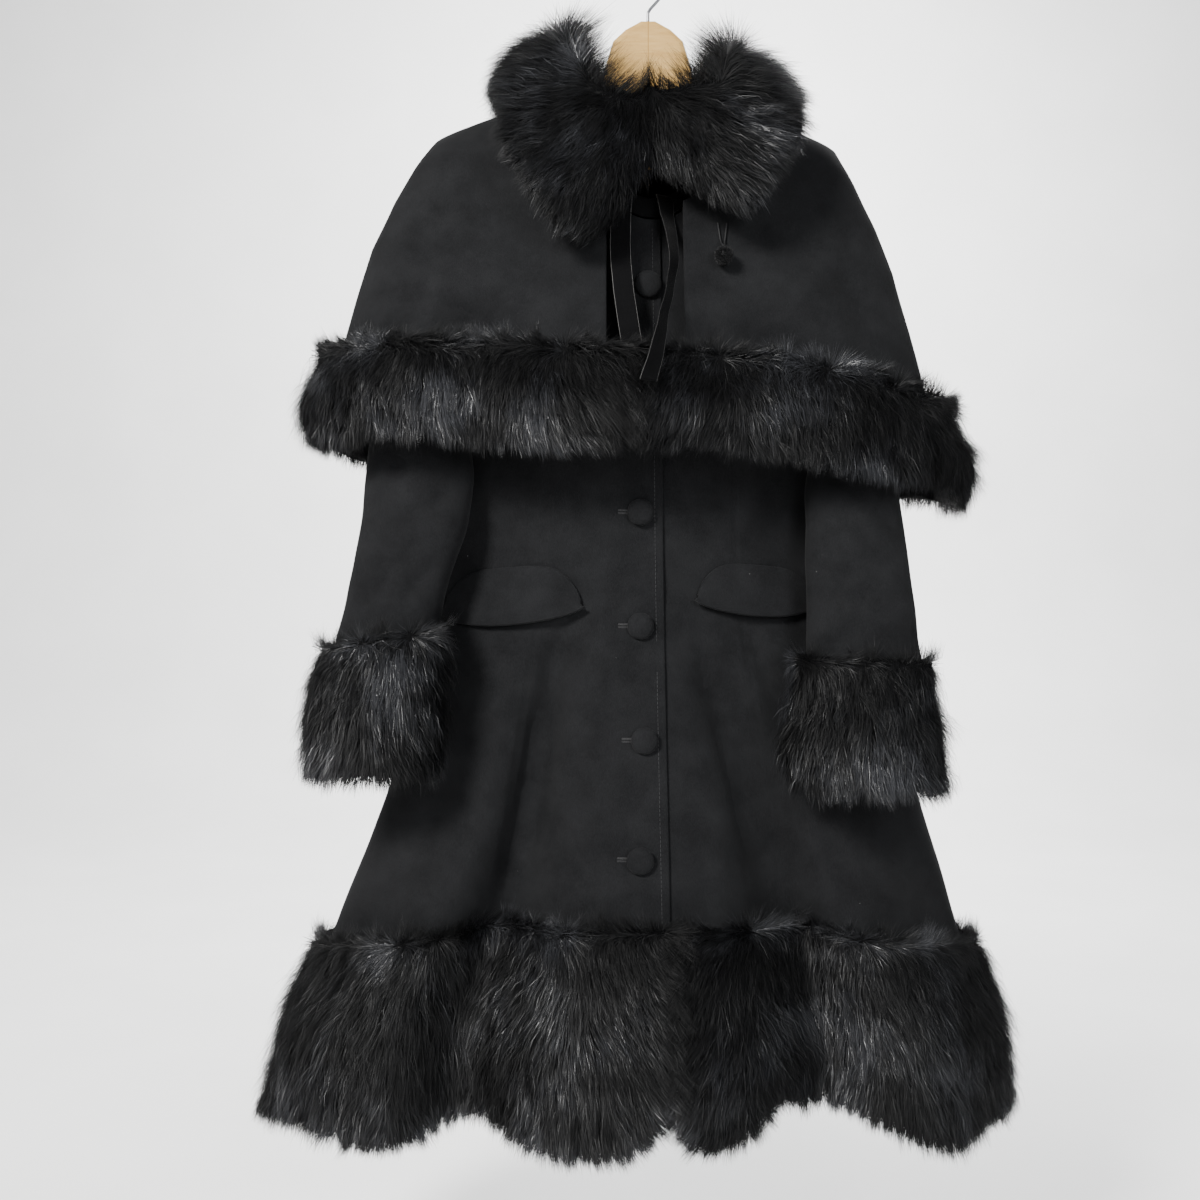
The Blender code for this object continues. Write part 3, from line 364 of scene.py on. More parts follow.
CAPE_CREASES = table(
    Crease,
    (-0.235, -0.372, -0.195, -0.366, 0.010, -0.0020),
    (-0.195, -0.366, -0.155, -0.392, 0.009, -0.0024),
    (-0.150, -0.408, -0.118, -0.392, 0.008, -0.0016),
    (-0.205, -0.300, -0.170, -0.330, 0.014, -0.0012),
    (-0.100, -0.330, -0.112, -0.420, 0.016, -0.0014),
    (0.085, -0.340, 0.100, -0.430, 0.015, -0.0014),
    (0.170, -0.330, 0.205, -0.430, 0.014, -0.0018),
    (0.120, -0.300, 0.150, -0.335, 0.012, -0.0012),
)
CAPE_BACK_CREASES = table(
    Crease,
    (-0.150, -0.300, -0.175, -0.440, 0.016, -0.0022),
    (-0.040, -0.280, -0.050, -0.440, 0.018, -0.0018),
    (0.070, -0.290, 0.085, -0.450, 0.015, -0.0020),
    (0.160, -0.310, 0.190, -0.460, 0.016, -0.0020),
)
SLEEVE_RIGHT_CREASES = table(
    Crease,
    (-0.250, -0.500, -0.215, -0.520, 0.009, -0.0020),
    (-0.180, -0.540, -0.220, -0.565, 0.010, -0.0024),
    (-0.262, -0.575, -0.225, -0.600, 0.008, -0.0018),
    (-0.190, -0.600, -0.225, -0.640, 0.010, -0.0022),
    (-0.270, -0.630, -0.245, -0.660, 0.008, -0.0016),
)
SLEEVE_LEFT_CREASES = table(
    Crease,
    (0.160, -0.520, 0.195, -0.545, 0.009, -0.0020),
    (0.220, -0.560, 0.185, -0.580, 0.010, -0.0022),
    (0.150, -0.600, 0.180, -0.625, 0.009, -0.0020),
    (0.225, -0.630, 0.195, -0.655, 0.009, -0.0018),
    (0.180, -0.660, 0.155, -0.680, 0.008, -0.0014),
)


# --- Curves through table rows, as in the solids but for whole arrays ---
def between(values, place):
    """A smooth curve through the values, at a place counted in them."""
    values = np.asarray(values, float)
    last = len(values) - 1
    place = np.clip(np.asarray(place, float), 0.0, last)
    low = np.minimum(place.astype(int), last - 1)
    part = place - low
    start, end = values[low], values[low + 1]
    slope_start = (end - values[np.maximum(low - 1, 0)]) / np.where(low > 0, 2, 1)
    slope_end = (values[np.minimum(low + 2, last)] - start) / np.where(low + 2 <= last, 2, 1)
    square = part * part
    cube = square * part
    first = (2 * cube - 3 * square + 1) * start + (cube - 2 * square + part) * slope_start
    return first + (3 * square - 2 * cube) * end + (cube - square) * slope_end


def along(rows, column, share):
    return between([getattr(row, column) for row in rows], np.asarray(share) * (len(rows) - 1))


def at_height(rows, z):
    heights = [-row.z for row in rows]
    return np.interp(-np.asarray(z, float), heights, np.arange(len(rows))) / (len(rows) - 1)


def smooth_step(value):
    value = np.clip(value, 0.0, 1.0)
    return value * value * (3 - 2 * value)


def mix(start, end, share):
    return start + (end - start) * share


# --- Shells: the coat and the cape, as a face, an angle round it and a height ---
Form = namedtuple("Form", "levels front_folds back_folds top fullness")
COAT = Form(COAT_LEVELS, COAT_FRONT_FOLDS, COAT_BACK_FOLDS, SHOULDER_TOP, 1.0)
CAPE = Form(CAPE_LEVELS, CAPE_FRONT_FOLDS, CAPE_BACK_FOLDS, CAPE_SHOULDER_TOP, CAPE_FULLNESS)


def folded(folds, angle, z):
    rise = np.zeros(np.broadcast(angle, z).shape)
    for fold in folds:
        share = (fold.upper_z - z) / (fold.upper_z - fold.lower_z)
        middle = np.radians(mix(fold.upper_angle, fold.lower_angle, np.clip(share, 0.0, 1.0)))
        away = np.clip((angle - middle) / radians(fold.width), -2, 2)
        rise = rise + fold.rise * smooth_step(share) * (0.5 + 0.5 * np.cos(away * pi / 2)) ** 2
    return rise


def shoulder_line(x, top):
    out = np.maximum(np.abs(x) - NECK_HALF_WIDTH, 0.0)
    return top - SHOULDER_FALL * out - SHOULDER_DROOP * out * out


def tilted(x, z):
    return z - HANG_TILT * x * smooth_step((z - TILT_FROM) / (TILT_FULL - TILT_FROM))


def shell_x(form, angle, z):
    share = at_height(form.levels, z)
    return along(form.levels, "middle", share) + along(form.levels, "half_width", share) * np.sin(angle)


def shell_angle(form, x, z):
    share = at_height(form.levels, z)
    out = (x - along(form.levels, "middle", share)) / along(form.levels, "half_width", share)
    return np.arcsin(np.clip(out, -1.0, 1.0))


def shell_point(form, face, angle, z, lift=0.0, grow=0.0):
    """Points of a shell's outer side. face is -1 at the front and 1 at the back, and may be an array."""
    front = np.asarray(face) < 0
    share = at_height(form.levels, z)
    x = shell_x(form, angle, z)
    depth = np.where(front, along(form.levels, "front", share), along(form.levels, "back", share))
    below = np.minimum((shoulder_line(x, form.top) - z) / SHOULDER_ROUND, 1.0)
    rounding = np.where(below > 0, np.sqrt(np.maximum(1 - (1 - below) ** 2, 0.0)), 0.0)
    power = np.where(front, form.fullness, BACK_FULLNESS)
    round_side = np.abs(np.cos(angle)) ** power * np.where(np.cos(angle) > 0, 1, -1)
    folds = np.where(front, folded(form.front_folds, angle, z), folded(form.back_folds, angle, z))
    out = rounding * ((depth + grow) * round_side + folds * np.cos(angle)) + lift
    return np.stack([x + grow * np.sin(angle), face * (HALF_SEAM + out), tilted(x, z)], axis=-1)


def ridge_height(form, angle):
    z = form.top
    for _ in range(6):
        z = shoulder_line(shell_x(form, angle, z), form.top)
    return z


def neckline_height(x, half_width, ridge, lowest):
    out = np.minimum(np.abs(x) / half_width, 1.0)
    return mix(ridge, lowest, (1 - out**2) ** 0.75)


def coat_top(face, angle):
    ridge = ridge_height(COAT, angle)
    x = shell_x(COAT, angle, ridge)
    neck = neckline_height(x, NECK_HALF_WIDTH, ridge, np.where(np.asarray(face) < 0, NECK_FRONT, NECK_BACK))
    past = np.clip((np.abs(angle) - ARMHOLE_ANGLE) / (pi / 2 - ARMHOLE_ANGLE), 0.0, 1.0)
    armhole = mix(ridge, ARMHOLE_LOW, np.sin(past * pi / 2) ** 1.1)
    return np.where(np.abs(x) < NECK_HALF_WIDTH, neck, np.where(past > 0, armhole, ridge))


def cape_top(face, angle):
    ridge = ridge_height(CAPE, angle)
    x = shell_x(CAPE, angle, ridge)
    lowest = np.where(np.asarray(face) < 0, CAPE_NECK_FRONT, CAPE_NECK_BACK)
    neck = neckline_height(x, CAPE_NECK_HALF_WIDTH, ridge, lowest)
    return np.where(np.abs(x) < CAPE_NECK_HALF_WIDTH, neck, ridge)


def cape_hem(face, angle):
    front = np.asarray(face) < 0
    middle = np.where(front, CAPE_HEM_FRONT, CAPE_HEM_BACK)
    drop = CAPE_LEFT_DROP * np.maximum(np.sin(angle), 0.0) ** np.where(front, 3, 1.5)
    return mix(CAPE_HEM_SIDE, middle, np.cos(angle) ** 2) - drop


def cape_fur_bottom(face, angle):
    return cape_hem(face, angle) - CAPE_FUR_HEIGHT + 0.004 * np.sin(7 * angle)


def coat_fur_top(face, angle):
    middle = np.where(np.asarray(face) < 0, FUR_TOP_FRONT, FUR_TOP_BACK)
    return mix(FUR_TOP_SIDE, middle, np.cos(angle) ** 2)


def coat_hem(face, angle):
    rise = HEM_FRONT_RISE * np.cos(angle) ** 2
    for lift in HEM_LIFTS:
        away = np.clip((angle - radians(lift.angle)) / radians(lift.width), -2, 2)
        rise = rise + lift.rise * (0.5 + 0.5 * np.cos(away * pi / 2))
    return HEM + np.where(np.asarray(face) < 0, rise, 0.0) + HEM_WAVE * np.sin(5 * angle + 0.6)


def lap_edge(z):
    return mix(LAP_EDGE_TOP, LAP_EDGE_LOW, (z - NECK_FRONT) / (HEM - NECK_FRONT))


def lap_lift(x):
    return (CLOTH + LAP_GAP) * smooth_step((x - lap_edge(NECK_FRONT) + UNDERLAP + LAP_RAMP) / LAP_RAMP)


def front_point(x, z, lift=0.0):
    """A point that stands off the coat's front: off the lap where it covers, else off the left front."""
    lap = np.where(np.asarray(x) < lap_edge(z), lap_lift(x), 0.0)
    return shell_point(COAT, -1, shell_angle(COAT, x, z), z, lap + lift)


def cape_front(x, z, lift):
    return shell_point(CAPE, -1, shell_angle(CAPE, x, z), z, lift)


# --- Meshes from arrays ---
def linked(name, data):
    """An object in the scene with this data."""
    made = bpy.data.objects.new(name, data)
    bpy.context.scene.collection.objects.link(made)
    return made


def placed(name, data, node):
    """A piece that rides on the coat and, if it names a node, takes the place of that solid."""
    piece = linked(name, data)
    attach(piece, "root")
    if node:
        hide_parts(node)
    return piece


def new_piece(name, vertices, faces, material, node):
    """A piece from an array of points and a list of arrays of faces, each array of one length."""
    mesh = bpy.data.meshes.new(name)
    blocks = [np.asarray(block) for block in faces if len(block)]
    corners = np.concatenate([block.ravel() for block in blocks]).astype(np.int32)
    sizes = np.concatenate([np.full(len(block), block.shape[1]) for block in blocks]).astype(np.int32)
    mesh.vertices.add(len(vertices))
    mesh.vertices.foreach_set("co", np.asarray(vertices, np.float32).ravel())
    mesh.loops.add(len(corners))
    mesh.loops.foreach_set("vertex_index", corners)
    mesh.polygons.add(len(sizes))
    mesh.polygons.foreach_set("loop_start", np.concatenate([[0], np.cumsum(sizes)[:-1]]).astype(np.int32))
    mesh.polygons.foreach_set("loop_total", sizes)
    mesh.update(calc_edges=True)
    mesh.validate()
    mesh.shade_smooth()
    for each in material if isinstance(material, list) else [material]:
        mesh.materials.append(each)
    return placed(name, mesh, node)


def grid_normals(points, closed=False):
    """Outward normals of a grid of points whose columns run to the right seen from outside."""
    if closed:
        across = np.roll(points, -1, axis=1) - np.roll(points, 1, axis=1)
    else:
        across = np.gradient(points, axis=1)
    down = np.gradient(points, axis=0)
    normal = np.cross(down, across)
    length = np.linalg.norm(normal, axis=-1, keepdims=True)
    return normal / np.maximum(length, 1e-12)


def grid_faces(rows, columns, across, shift=0, flip=False):
    """Four-sided faces between the rows and columns of a grid that has this many points across."""
    row, column = np.meshgrid(np.arange(rows), np.arange(columns), indexing="ij")
    a = shift + row * across + column
    b = shift + row * across + (column + 1) % across
    faces = np.stack([a, a + across, b + across, b], axis=-1).reshape(-1, 4)
    return faces[:, ::-1] if flip else faces


def edged(count, size, edge=0.0012):
    """Places from 0 to 1 with a close pair at each end, for a rounded edge on a sheet of this size."""
    inner = np.linspace(0.0, 1.0, count - 3)
    near = min(edge / size, 0.3 / count)
    return np.concatenate([[0.0, near * 0.35, near], inner[1:-1], [1 - near, 1 - near * 0.35, 1.0]])


def edge_round(places, amount=0.0007):
    """How far the cloth's face falls back at its very edge."""
    fall = np.zeros(len(places))
    fall[0] = fall[-1] = amount
    fall[1] = fall[-2] = amount * 0.35
    return fall


def sheet_piece(name, points, push, thick, material, node, closed=False, stride=4):
    """A thin cloth shell: a fine outer side, pushed out along its normals, and a coarser inner one."""
    rows, across = points.shape[0] - 1, points.shape[1]
    columns = across if closed else across - 1
    normals = grid_normals(points, closed)
    outer = points + normals * push[..., None]
    row_picks = np.unique(np.append(np.arange(0, rows + 1, stride), rows))
    column_picks = np.arange(0, across, stride)
    if not closed:
        column_picks = np.unique(np.append(column_picks, across - 1))
    inner = (outer - normals * thick)[np.ix_(row_picks, column_picks)]
    shift = outer.shape[0] * across
    wide = inner.shape[1]
    tall = inner.shape[0] - 1
    faces = [grid_faces(rows, columns, across)]
    faces.append(grid_faces(tall, wide if closed else wide - 1, wide, shift, flip=True))
    rims = []
    for row, coarse, turn in ((0, 0, 1), (rows, tall, -1)):
        for index in range(wide if closed else wide - 1):
            start = column_picks[index]
            stop = column_picks[index + 1] if index + 1 < wide else across
            fine = [row * across + c % across for c in range(start, stop + 1)]
            back = [shift + coarse * wide + (index + 1) % wide, shift + coarse * wide + index]
            rims.append((fine + back)[::turn])
    if not closed:
        for column, coarse, turn in ((0, 0, -1), (across - 1, wide - 1, 1)):
            for index in range(tall):
                fine = [r * across + column for r in range(row_picks[index], row_picks[index + 1] + 1)]
                back = [shift + (index + 1) * wide + coarse, shift + index * wide + coarse]
                rims.append((fine + back)[::turn])
    by_length = {}
    for face in rims:
        by_length.setdefault(len(face), []).append(face)
    faces += list(by_length.values())
    vertices = np.concatenate([outer.reshape(-1, 3), inner.reshape(-1, 3)])
    piece = new_piece(name, vertices, faces, material, node)
    lengths = np.linalg.norm(np.diff(outer, axis=0), axis=-1).sum(axis=0)
    ring = np.concatenate([outer, outer[:, :1]], axis=1) if closed else outer
    widths = np.linalg.norm(np.diff(ring, axis=1), axis=-1).sum(axis=1)
    area = quad_area(ring)
    piece["flat"] = [float(widths.max()), float(lengths.max())]
    piece["area"] = float(min(area, widths.max() * lengths.max()))
    return piece


def quad_area(grid):
    a, b, c, d = grid[:-1, :-1], grid[:-1, 1:], grid[1:, 1:], grid[1:, :-1]
    first = np.linalg.norm(np.cross(b - a, c - a), axis=-1)
    second = np.linalg.norm(np.cross(c - a, d - a), axis=-1)
    return (first.sum() + second.sum()) / 2


def declare_sheet(piece):
    """Reads a sheet's measured width and length, and does nothing more with them."""
    tuple(piece["flat"])


def creased(creases, x, z):
    """The push of all the creases at each point, each fading out towards its ends."""
    push = np.zeros(np.shape(x))
    for crease in creases:
        way = np.array([crease.x2 - crease.x1, crease.z2 - crease.z1])
        length = np.hypot(*way)
        way = way / length
        ahead = ((x - crease.x1) * way[0] + (z - crease.z1) * way[1]) / length
        aside = ((x - crease.x1) * -way[1] + (z - crease.z1) * way[0]) / crease.width
        fade = smooth_step(ahead / 0.35 + 0.3) * smooth_step((1 - ahead) / 0.35 + 0.3)
        push += CREASE_DEPTH * crease.rise * fade * np.exp(-aside * aside)
    return push


def waves(x, z, seed, scale):
    """Smooth random unevenness between about -1 and 1, from a few waves of about this length."""
    count = 6
    draw = np.random.default_rng(seed)
    total = np.zeros(np.broadcast(x, z).shape)
    for _ in range(count):
        turn, phase = draw.uniform(0, 2 * pi, 2)
        size = 2 * pi / (scale * draw.uniform(0.6, 1.6))
        total += np.sin((x * np.cos(turn) + z * np.sin(turn)) * size + phase)
    return total / count * 1.6


# --- Cloth panels ---
# Each seam is a row of points from its top to its lower end.
FRONT_SEAMS = (
    ((-0.088, -0.420), (-0.098, -0.560), (-0.104, -0.650), (-0.150, -0.960)),
    ((0.074, -0.420), (0.078, -0.560), (0.082, -0.640), (0.130, -0.960)),
)
BACK_SEAMS = (
    ((-0.095, -0.300), (-0.080, -0.560), (-0.130, -0.960)),
    ((0.085, -0.300), (0.072, -0.560), (0.120, -0.960)),
    ((-0.004, -0.190), (-0.004, -0.960)),
)


def grooved(seams, x, z):
    """The push of the stitched seams: a narrow groove between two low ridges."""
    push = np.zeros(np.shape(x))
    for seam in seams:
        for (x1, z1), (x2, z2) in zip(seam, seam[1:]):
            share = np.clip((z - z1) / (z2 - z1), 0.0, 1.0)
            inside = (z <= z1) & (z >= z2)
            away = (x - mix(x1, x2, share)) / SEAM_WIDTH
            push -= SEAM_DEPTH * np.exp(-away * away) * inside
            push += SEAM_DEPTH * 0.5 * np.exp(-((np.abs(away) - 2.6) ** 2)) * inside
    return push


def panel_grid(panel, u, v):
    """Points of a panel between its side edges, each an angle that may change with height."""
    face = panel.face
    u = 1 - u if face > 0 else u

    def angle_at(z):
        return mix(panel.first(z), panel.last(z), u)

    high, low = panel.top(face, np.zeros(len(u))), panel.bottom(face, np.zeros(len(u)))
    for _ in range(5):
        high, low = panel.top(face, angle_at(high)), panel.bottom(face, angle_at(low))
    z = mix(high, low, v[:, None])
    angle = angle_at(z)
    return shell_point(panel.form, face, angle, z, panel.lift(angle, z) if panel.lift else 0.0)


def side_right(z):
    return np.full(np.shape(z), -pi / 2)


def side_left(z):
    return np.full(np.shape(z), pi / 2)


def edge_at(form, x_of):
    return lambda z: shell_angle(form, x_of(z), z)


Panel = namedtuple("Panel", "name node form face first last top bottom columns rows creases seams lift seed")


def make_panel(panel):
    u = edged(panel.columns, 0.35)
    # The rows lie closer together at the rounded shoulder.
    v = edged(panel.rows, 0.7) ** 1.35
    points = panel_grid(panel, u, v)
    near_seam = np.clip(1 - np.abs(points[..., 1]) / SEAM_REACH, 0.0, 1.0)
    points[..., 1] -= panel.face * SEAM_CLOSE * near_seam
    x, z = points[..., 0], points[..., 2]
    push = creased(panel.creases, x, z) + grooved(panel.seams, x, z)
    push += UNEVEN_RISE * waves(x, z, panel.seed, UNEVEN_SIZE)
    margin = np.minimum(u / 0.03, (1 - u) / 0.03).clip(0, 1)[None, :]
    margin = margin * np.minimum(v / 0.02, (1 - v) / 0.02).clip(0, 1)[:, None]
    push = push * margin - edge_round(u)[None, :] - edge_round(v)[:, None]
    piece = sheet_piece(panel.name, points, push, WOOL_THICK, MATERIALS["wool"], panel.node)
    declare_sheet(piece)


def above_fur(face, angle):
    return coat_fur_top(face, angle) + FUR_SEAM


def above_cape_fur(face, angle):
    return cape_hem(face, angle) + FUR_SEAM


def make_cloth():
    lap = edge_at(COAT, lap_edge)
    under = edge_at(COAT, lambda z: lap_edge(z) - UNDERLAP)
    cape_right = edge_at(CAPE, lambda z: CAPE_EDGE_RIGHT)
    cape_left = edge_at(CAPE, lambda z: CAPE_EDGE_LEFT)

    def lapped(angle, z):
        return lap_lift(shell_x(COAT, angle, z))

    coat = (coat_top, above_fur)
    cape = (cape_top, above_cape_fur)
    make_panel(Panel("right_front", "coat_front_right", COAT, -1, side_right, lap, *coat, 110, 170,
                     FRONT_CREASES, FRONT_SEAMS, lapped, 11))
    make_panel(Panel("left_front", "coat_front_left", COAT, -1, under, side_left, *coat, 110, 170,
                     FRONT_CREASES, FRONT_SEAMS, None, 12))
    make_panel(Panel("back", "coat_back", COAT, 1, side_right, side_left, *coat, 120, 110,
                     BACK_CREASES, BACK_SEAMS, None, 13))
    make_panel(Panel("cape_right_front", "cape_right", CAPE, -1, side_right, cape_right, *cape, 80, 66,
                     CAPE_CREASES, (), None, 14))
    make_panel(Panel("cape_left_front", "cape_left", CAPE, -1, cape_left, side_left, *cape, 80, 66,
                     CAPE_CREASES, (), None, 15))
    make_panel(Panel("cape_back_panel", "cape_back", CAPE, 1, side_right, side_left, *cape, 100, 60,
                     CAPE_BACK_CREASES, (), None, 16))


# --- Sleeves ---
def armhole_point(side, turn):
    face = np.where(turn <= 0.5, -1, 1)
    share = np.where(turn <= 0.5, turn * 2, 2 - turn * 2)
    angle = side * mix(ARMHOLE_ANGLE, pi / 2, share)
    point = shell_point(COAT, face, angle, coat_top(face, angle))
    point[..., 0] += side * ARMHOLE_GAP
    return point


def ring_point(rings, share, turn, grow=0.0):
    """Points round a tube: turn 0 is the outer side, 0.5 the inner side and 0.25 the front."""
    outer_x, outer_z = along(rings, "outer_x", share), along(rings, "outer_z", share)
    inner_x, inner_z = along(rings, "inner_x", share), along(rings, "inner_z", share)
    half_x, half_z = (outer_x - inner_x) / 2, (outer_z - inner_z) / 2
    more = (1 + grow / np.hypot(half_x, half_z)) * np.cos(2 * pi * turn)
    depth = along(rings, "half_depth", share) + grow
    y = along(rings, "middle_y", share) - depth * np.sin(2 * pi * turn)
    return np.stack([(outer_x + inner_x) / 2 + half_x * more, y, (outer_z + inner_z) / 2 + half_z * more], -1)


def make_sleeve(name, rings, side, creases, seed):
    """A tube of cloth that starts at the armhole, with a seam at the back of the arm."""
    around, rows, seam_turn = 92, 104, 0.62
    u = np.arange(around) / around
    turn = u if side < 0 else (1 - u) % 1.0
    v = edged(rows, 0.45)
    turns, shares = np.meshgrid(turn, v)
    hold = smooth_step(1 - shares * (len(rings) - 1) / 2)[..., None]
    points = mix(ring_point(rings, shares, turns), armhole_point(side, turns), hold)
    x, z = points[..., 0], points[..., 2]
    front = smooth_step(np.sin(2 * pi * turns) * 2 + 0.5)
    push = creased(creases, x, z) * (0.35 + 0.65 * front)
    push += 0.0006 * waves(x + points[..., 1], z, seed, 0.06)
    push -= 0.0007 * np.exp(-(((turns - seam_turn) / 0.006) ** 2))
    push = push * np.clip(np.minimum(v / 0.08, (1 - v) / 0.03), 0, 1)[:, None] - edge_round(v)[:, None]
    piece = sheet_piece(f"sleeve_{name}_cloth", points, push, WOOL_THICK, MATERIALS["wool"],
                        f"sleeve_{name}", closed=True, stride=5)
    declare_sheet(piece)


# --- What lies on the coat ---
def make_flap(name, flap):
    """A pocket flap that stands off the coat at its lower edge, stitched along its top and bottom."""
    u = edged(44, 0.13)
    v = edged(16, 0.04)
    shares, downs = np.meshgrid(u, v)
    along_x = shares if flap.outer_x < 0 else 1 - shares
    x = mix(flap.outer_x, flap.inner_x, along_x)
    top = mix(flap.outer_z, flap.inner_z, along_x) + flap.rise * (1 - (2 * along_x - 1) ** 4) ** 0.8
    bow = np.sin(pi * np.clip(along_x, 0, 1)).clip(0) ** 0.5
    low = mix(flap.outer_z, flap.inner_z, along_x) - flap.drop * 0.5 * bow
    z = mix(top, low - 0.004, downs)
    lift = FLAP_LIFT * downs * downs * smooth_step(along_x / 0.3)
    points = front_point(x, z, FLAP_GAP + FLAP_THICK + lift)
    rows_away = [(downs - row) / 0.05 for row in (0.84, 0.10)]
    stitch = sum(0.0004 * np.exp(-(away**2)) for away in rows_away)
    push = 0.0003 * waves(x, z, 31, 0.05) - stitch
    push = push - edge_round(u, 0.001)[None, :] - edge_round(v, 0.001)[:, None]
    piece = sheet_piece(name, points, push, FLAP_THICK - 0.0006, MATERIALS["wool"], f"pocket_{name}")
    declare_sheet(piece)


def make_button(place):
    """A dome of cloth gathered over a button, on a short neck."""
    around, rings, rim, open_angle = 40, 12, 0.9, pi * 0.56
    turn = 2 * pi * np.arange(around) / around
    near = ((-1, 0), (1, 0), (0, 0), (0, 1), (0, -1))
    seats = [front_point(place.x + dx * BUTTON_RADIUS, place.z + dz * BUTTON_RADIUS) for dx, dz in near]
    flat = -min(float(seat[1]) for seat in seats)
    points = []
    for ring in range(rings + 1):
        share = ring / rings
        inward = max(share - rim, 0.0) * 1.2
        radius = BUTTON_RADIUS * (sin(min(share, rim) * open_angle) - inward)
        height = BUTTON_HEIGHT * (1.0 - share**2.4)
        pucker = 1 + 0.006 * np.sin(turn * 11) * share
        x = place.x + radius * np.sin(turn) * pucker
        z = place.z + radius * np.cos(turn) * pucker
        y = np.full(around, -flat - BUTTON_GAP - height)
        points.append(np.stack([x, y, tilted(x, z)], axis=-1))
    # The first ring is one point, the dome's top. The last one is closed with one flat face.
    sides = grid_faces(rings, around, around, flip=True)[around:]
    index = np.arange(around)
    tip = np.stack([np.zeros(around, int), around + index, around + (index + 1) % around], -1)[:, ::-1]
    seat = (rings * around + index)[None, ::-1]
    piece = new_piece(f"{place.name}_cloth", np.concatenate(points), [sides, tip, seat], MATERIALS["button"],
                      place.name)
    piece.data.set_sharp_from_angle(angle=radians(60))


def make_stitches(name, stitches):
    """Short flat stitches of four points each, as one piece."""
    faces = np.arange(4 * len(stitches)).reshape(-1, 4)
    new_piece(name, np.concatenate(stitches), [faces], MATERIALS["thread"], None)


def make_buttonholes():
    """A slit left of each button, worked with short stitches above and below it."""
    stitches = []
    half = np.array([0.0003, 0.0, 0.0])
    for place in BUTTONS:
        for index in range(HOLE_STITCHES):
            x = place.x - HOLE_AWAY + HOLE_LENGTH * (index / (HOLE_STITCHES - 1) - 0.5)
            for side in (-1, 1):
                near = front_point(x, place.z + side * 0.0004, 0.0007)
                far = front_point(x + 0.0001, place.z + side * 0.0021, 0.0003)
                stitches.append([near - half, near + half, far + half, far - half][::side])
    make_stitches("buttonhole_stitches", stitches)


def make_top_stitches():
    """A row of short stitches beside the lap's edge."""
    stitches = []
    half = np.array([0.00022, 0.0, 0.0])
    z = LAP_STITCH_TOP
    while z > LAP_STITCH_LOW:
        x = lap_edge(z) - LAP_STITCH_INSET
        high, low = front_point(x, z, 0.0002), front_point(x, z - LAP_STITCH_LENGTH, 0.0002)
        stitches.append([high - half, low - half, low + half, high + half])
        z -= LAP_STITCH_STEP
    make_stitches("lap_stitches", stitches)


# --- Velvet ---
def neckline_point(turn):
    """Points round the neckline, from the front's middle to the left, the back, the right and round."""
    limit = shell_angle(COAT, NECK_HALF_WIDTH - 0.0005, SHOULDER_TOP)
    spread = 4 * (turn % 1.0)
    face = np.where((spread > 1) & (spread <= 3), 1, -1)
    past = np.where(spread <= 3, limit * (2 - spread), limit * (spread - 4))
    angle = np.where(spread <= 1, limit * spread, past)
    return shell_point(COAT, face, angle, coat_top(face, angle))


def make_neck_band():
    around = 160
    u = np.arange(around) / around
    v = edged(10, 0.02, 0.0006)
    low = neckline_point(u)
    lean = np.stack([-low[:, 0], -low[:, 1] * 0.5, np.zeros(around)], -1) * BAND_LEAN
    top = low + lean + [0.0, 0.0, BAND_HEIGHT]
    low = np.stack([low[:, 0] * BAND_INSET, low[:, 1], low[:, 2] + NECK_GAP], -1)
    points = mix(top[None], low[None], v[:, None, None])
    push = -edge_round(v, 0.0004)[:, None] + np.zeros((len(v), around))
    piece = sheet_piece("velvet_band", points, push, VELVET, MATERIALS["velvet"], "neck_band",
                        closed=True, stride=2)
    declare_sheet(piece)


def make_ribbon(node, rows):
    """A velvet ribbon with a pale woven edge on each side."""
    across, steps = 12, 90
    u = np.concatenate([[0.0], np.linspace(SELVEDGE, 1 - SELVEDGE, across - 1), [1.0]])
    v = np.linspace(0, 1, steps + 1)
    middle = np.stack([along(rows, column, v) for column in "xyz"], -1)
    turn = np.radians(along(rows, "turn", v))
    width = np.stack([np.cos(turn), np.sin(turn), np.zeros(steps + 1)], -1)
    points = middle[:, None, :] + width[:, None, :] * ((2 * u - 1) * RIBBON_HALF_WIDTH)[None, :, None]
    push = 0.0003 * np.sin(v * 37)[:, None] + np.zeros((steps + 1, across + 1))
    piece = sheet_piece(f"{node}_velvet", points, push, RIBBON_THICK * 0.7,
                        [MATERIALS["velvet"], MATERIALS["selvedge"]], node, stride=1)
    at_edge = np.zeros(len(piece.data.polygons), np.int32)
    column = np.arange(steps * across) % across
    at_edge[: steps * across] = (column == 0) | (column == across - 1)
    piece.data.polygons.foreach_set("material_index", at_edge)
    piece.data.update()
    declare_sheet(piece)


# --- Fur: a dark pelt with many fine tapered hairs ---
# back_share thins the hair behind. rim_top and rim_low are the shares of hairs that root at an edge.
Pelt = namedtuple("Pelt", "surface comb hairs seed back_share rim_top rim_low")


def unit(vectors):
    return vectors / np.maximum(np.linalg.norm(vectors, axis=-1, keepdims=True), 1e-9)


def surface_frames(surface, u, v, grow):
    """Points of a surface with their outward normals and the directions along +u and down +v."""
    step = 0.002
    across = unit(surface(u + step, v, grow) - surface(u - step, v, grow))
    down = unit(surface(u, v + step, grow) - surface(u, v - step, grow))
    return surface(u, v, grow), unit(np.cross(down, across)), across, down


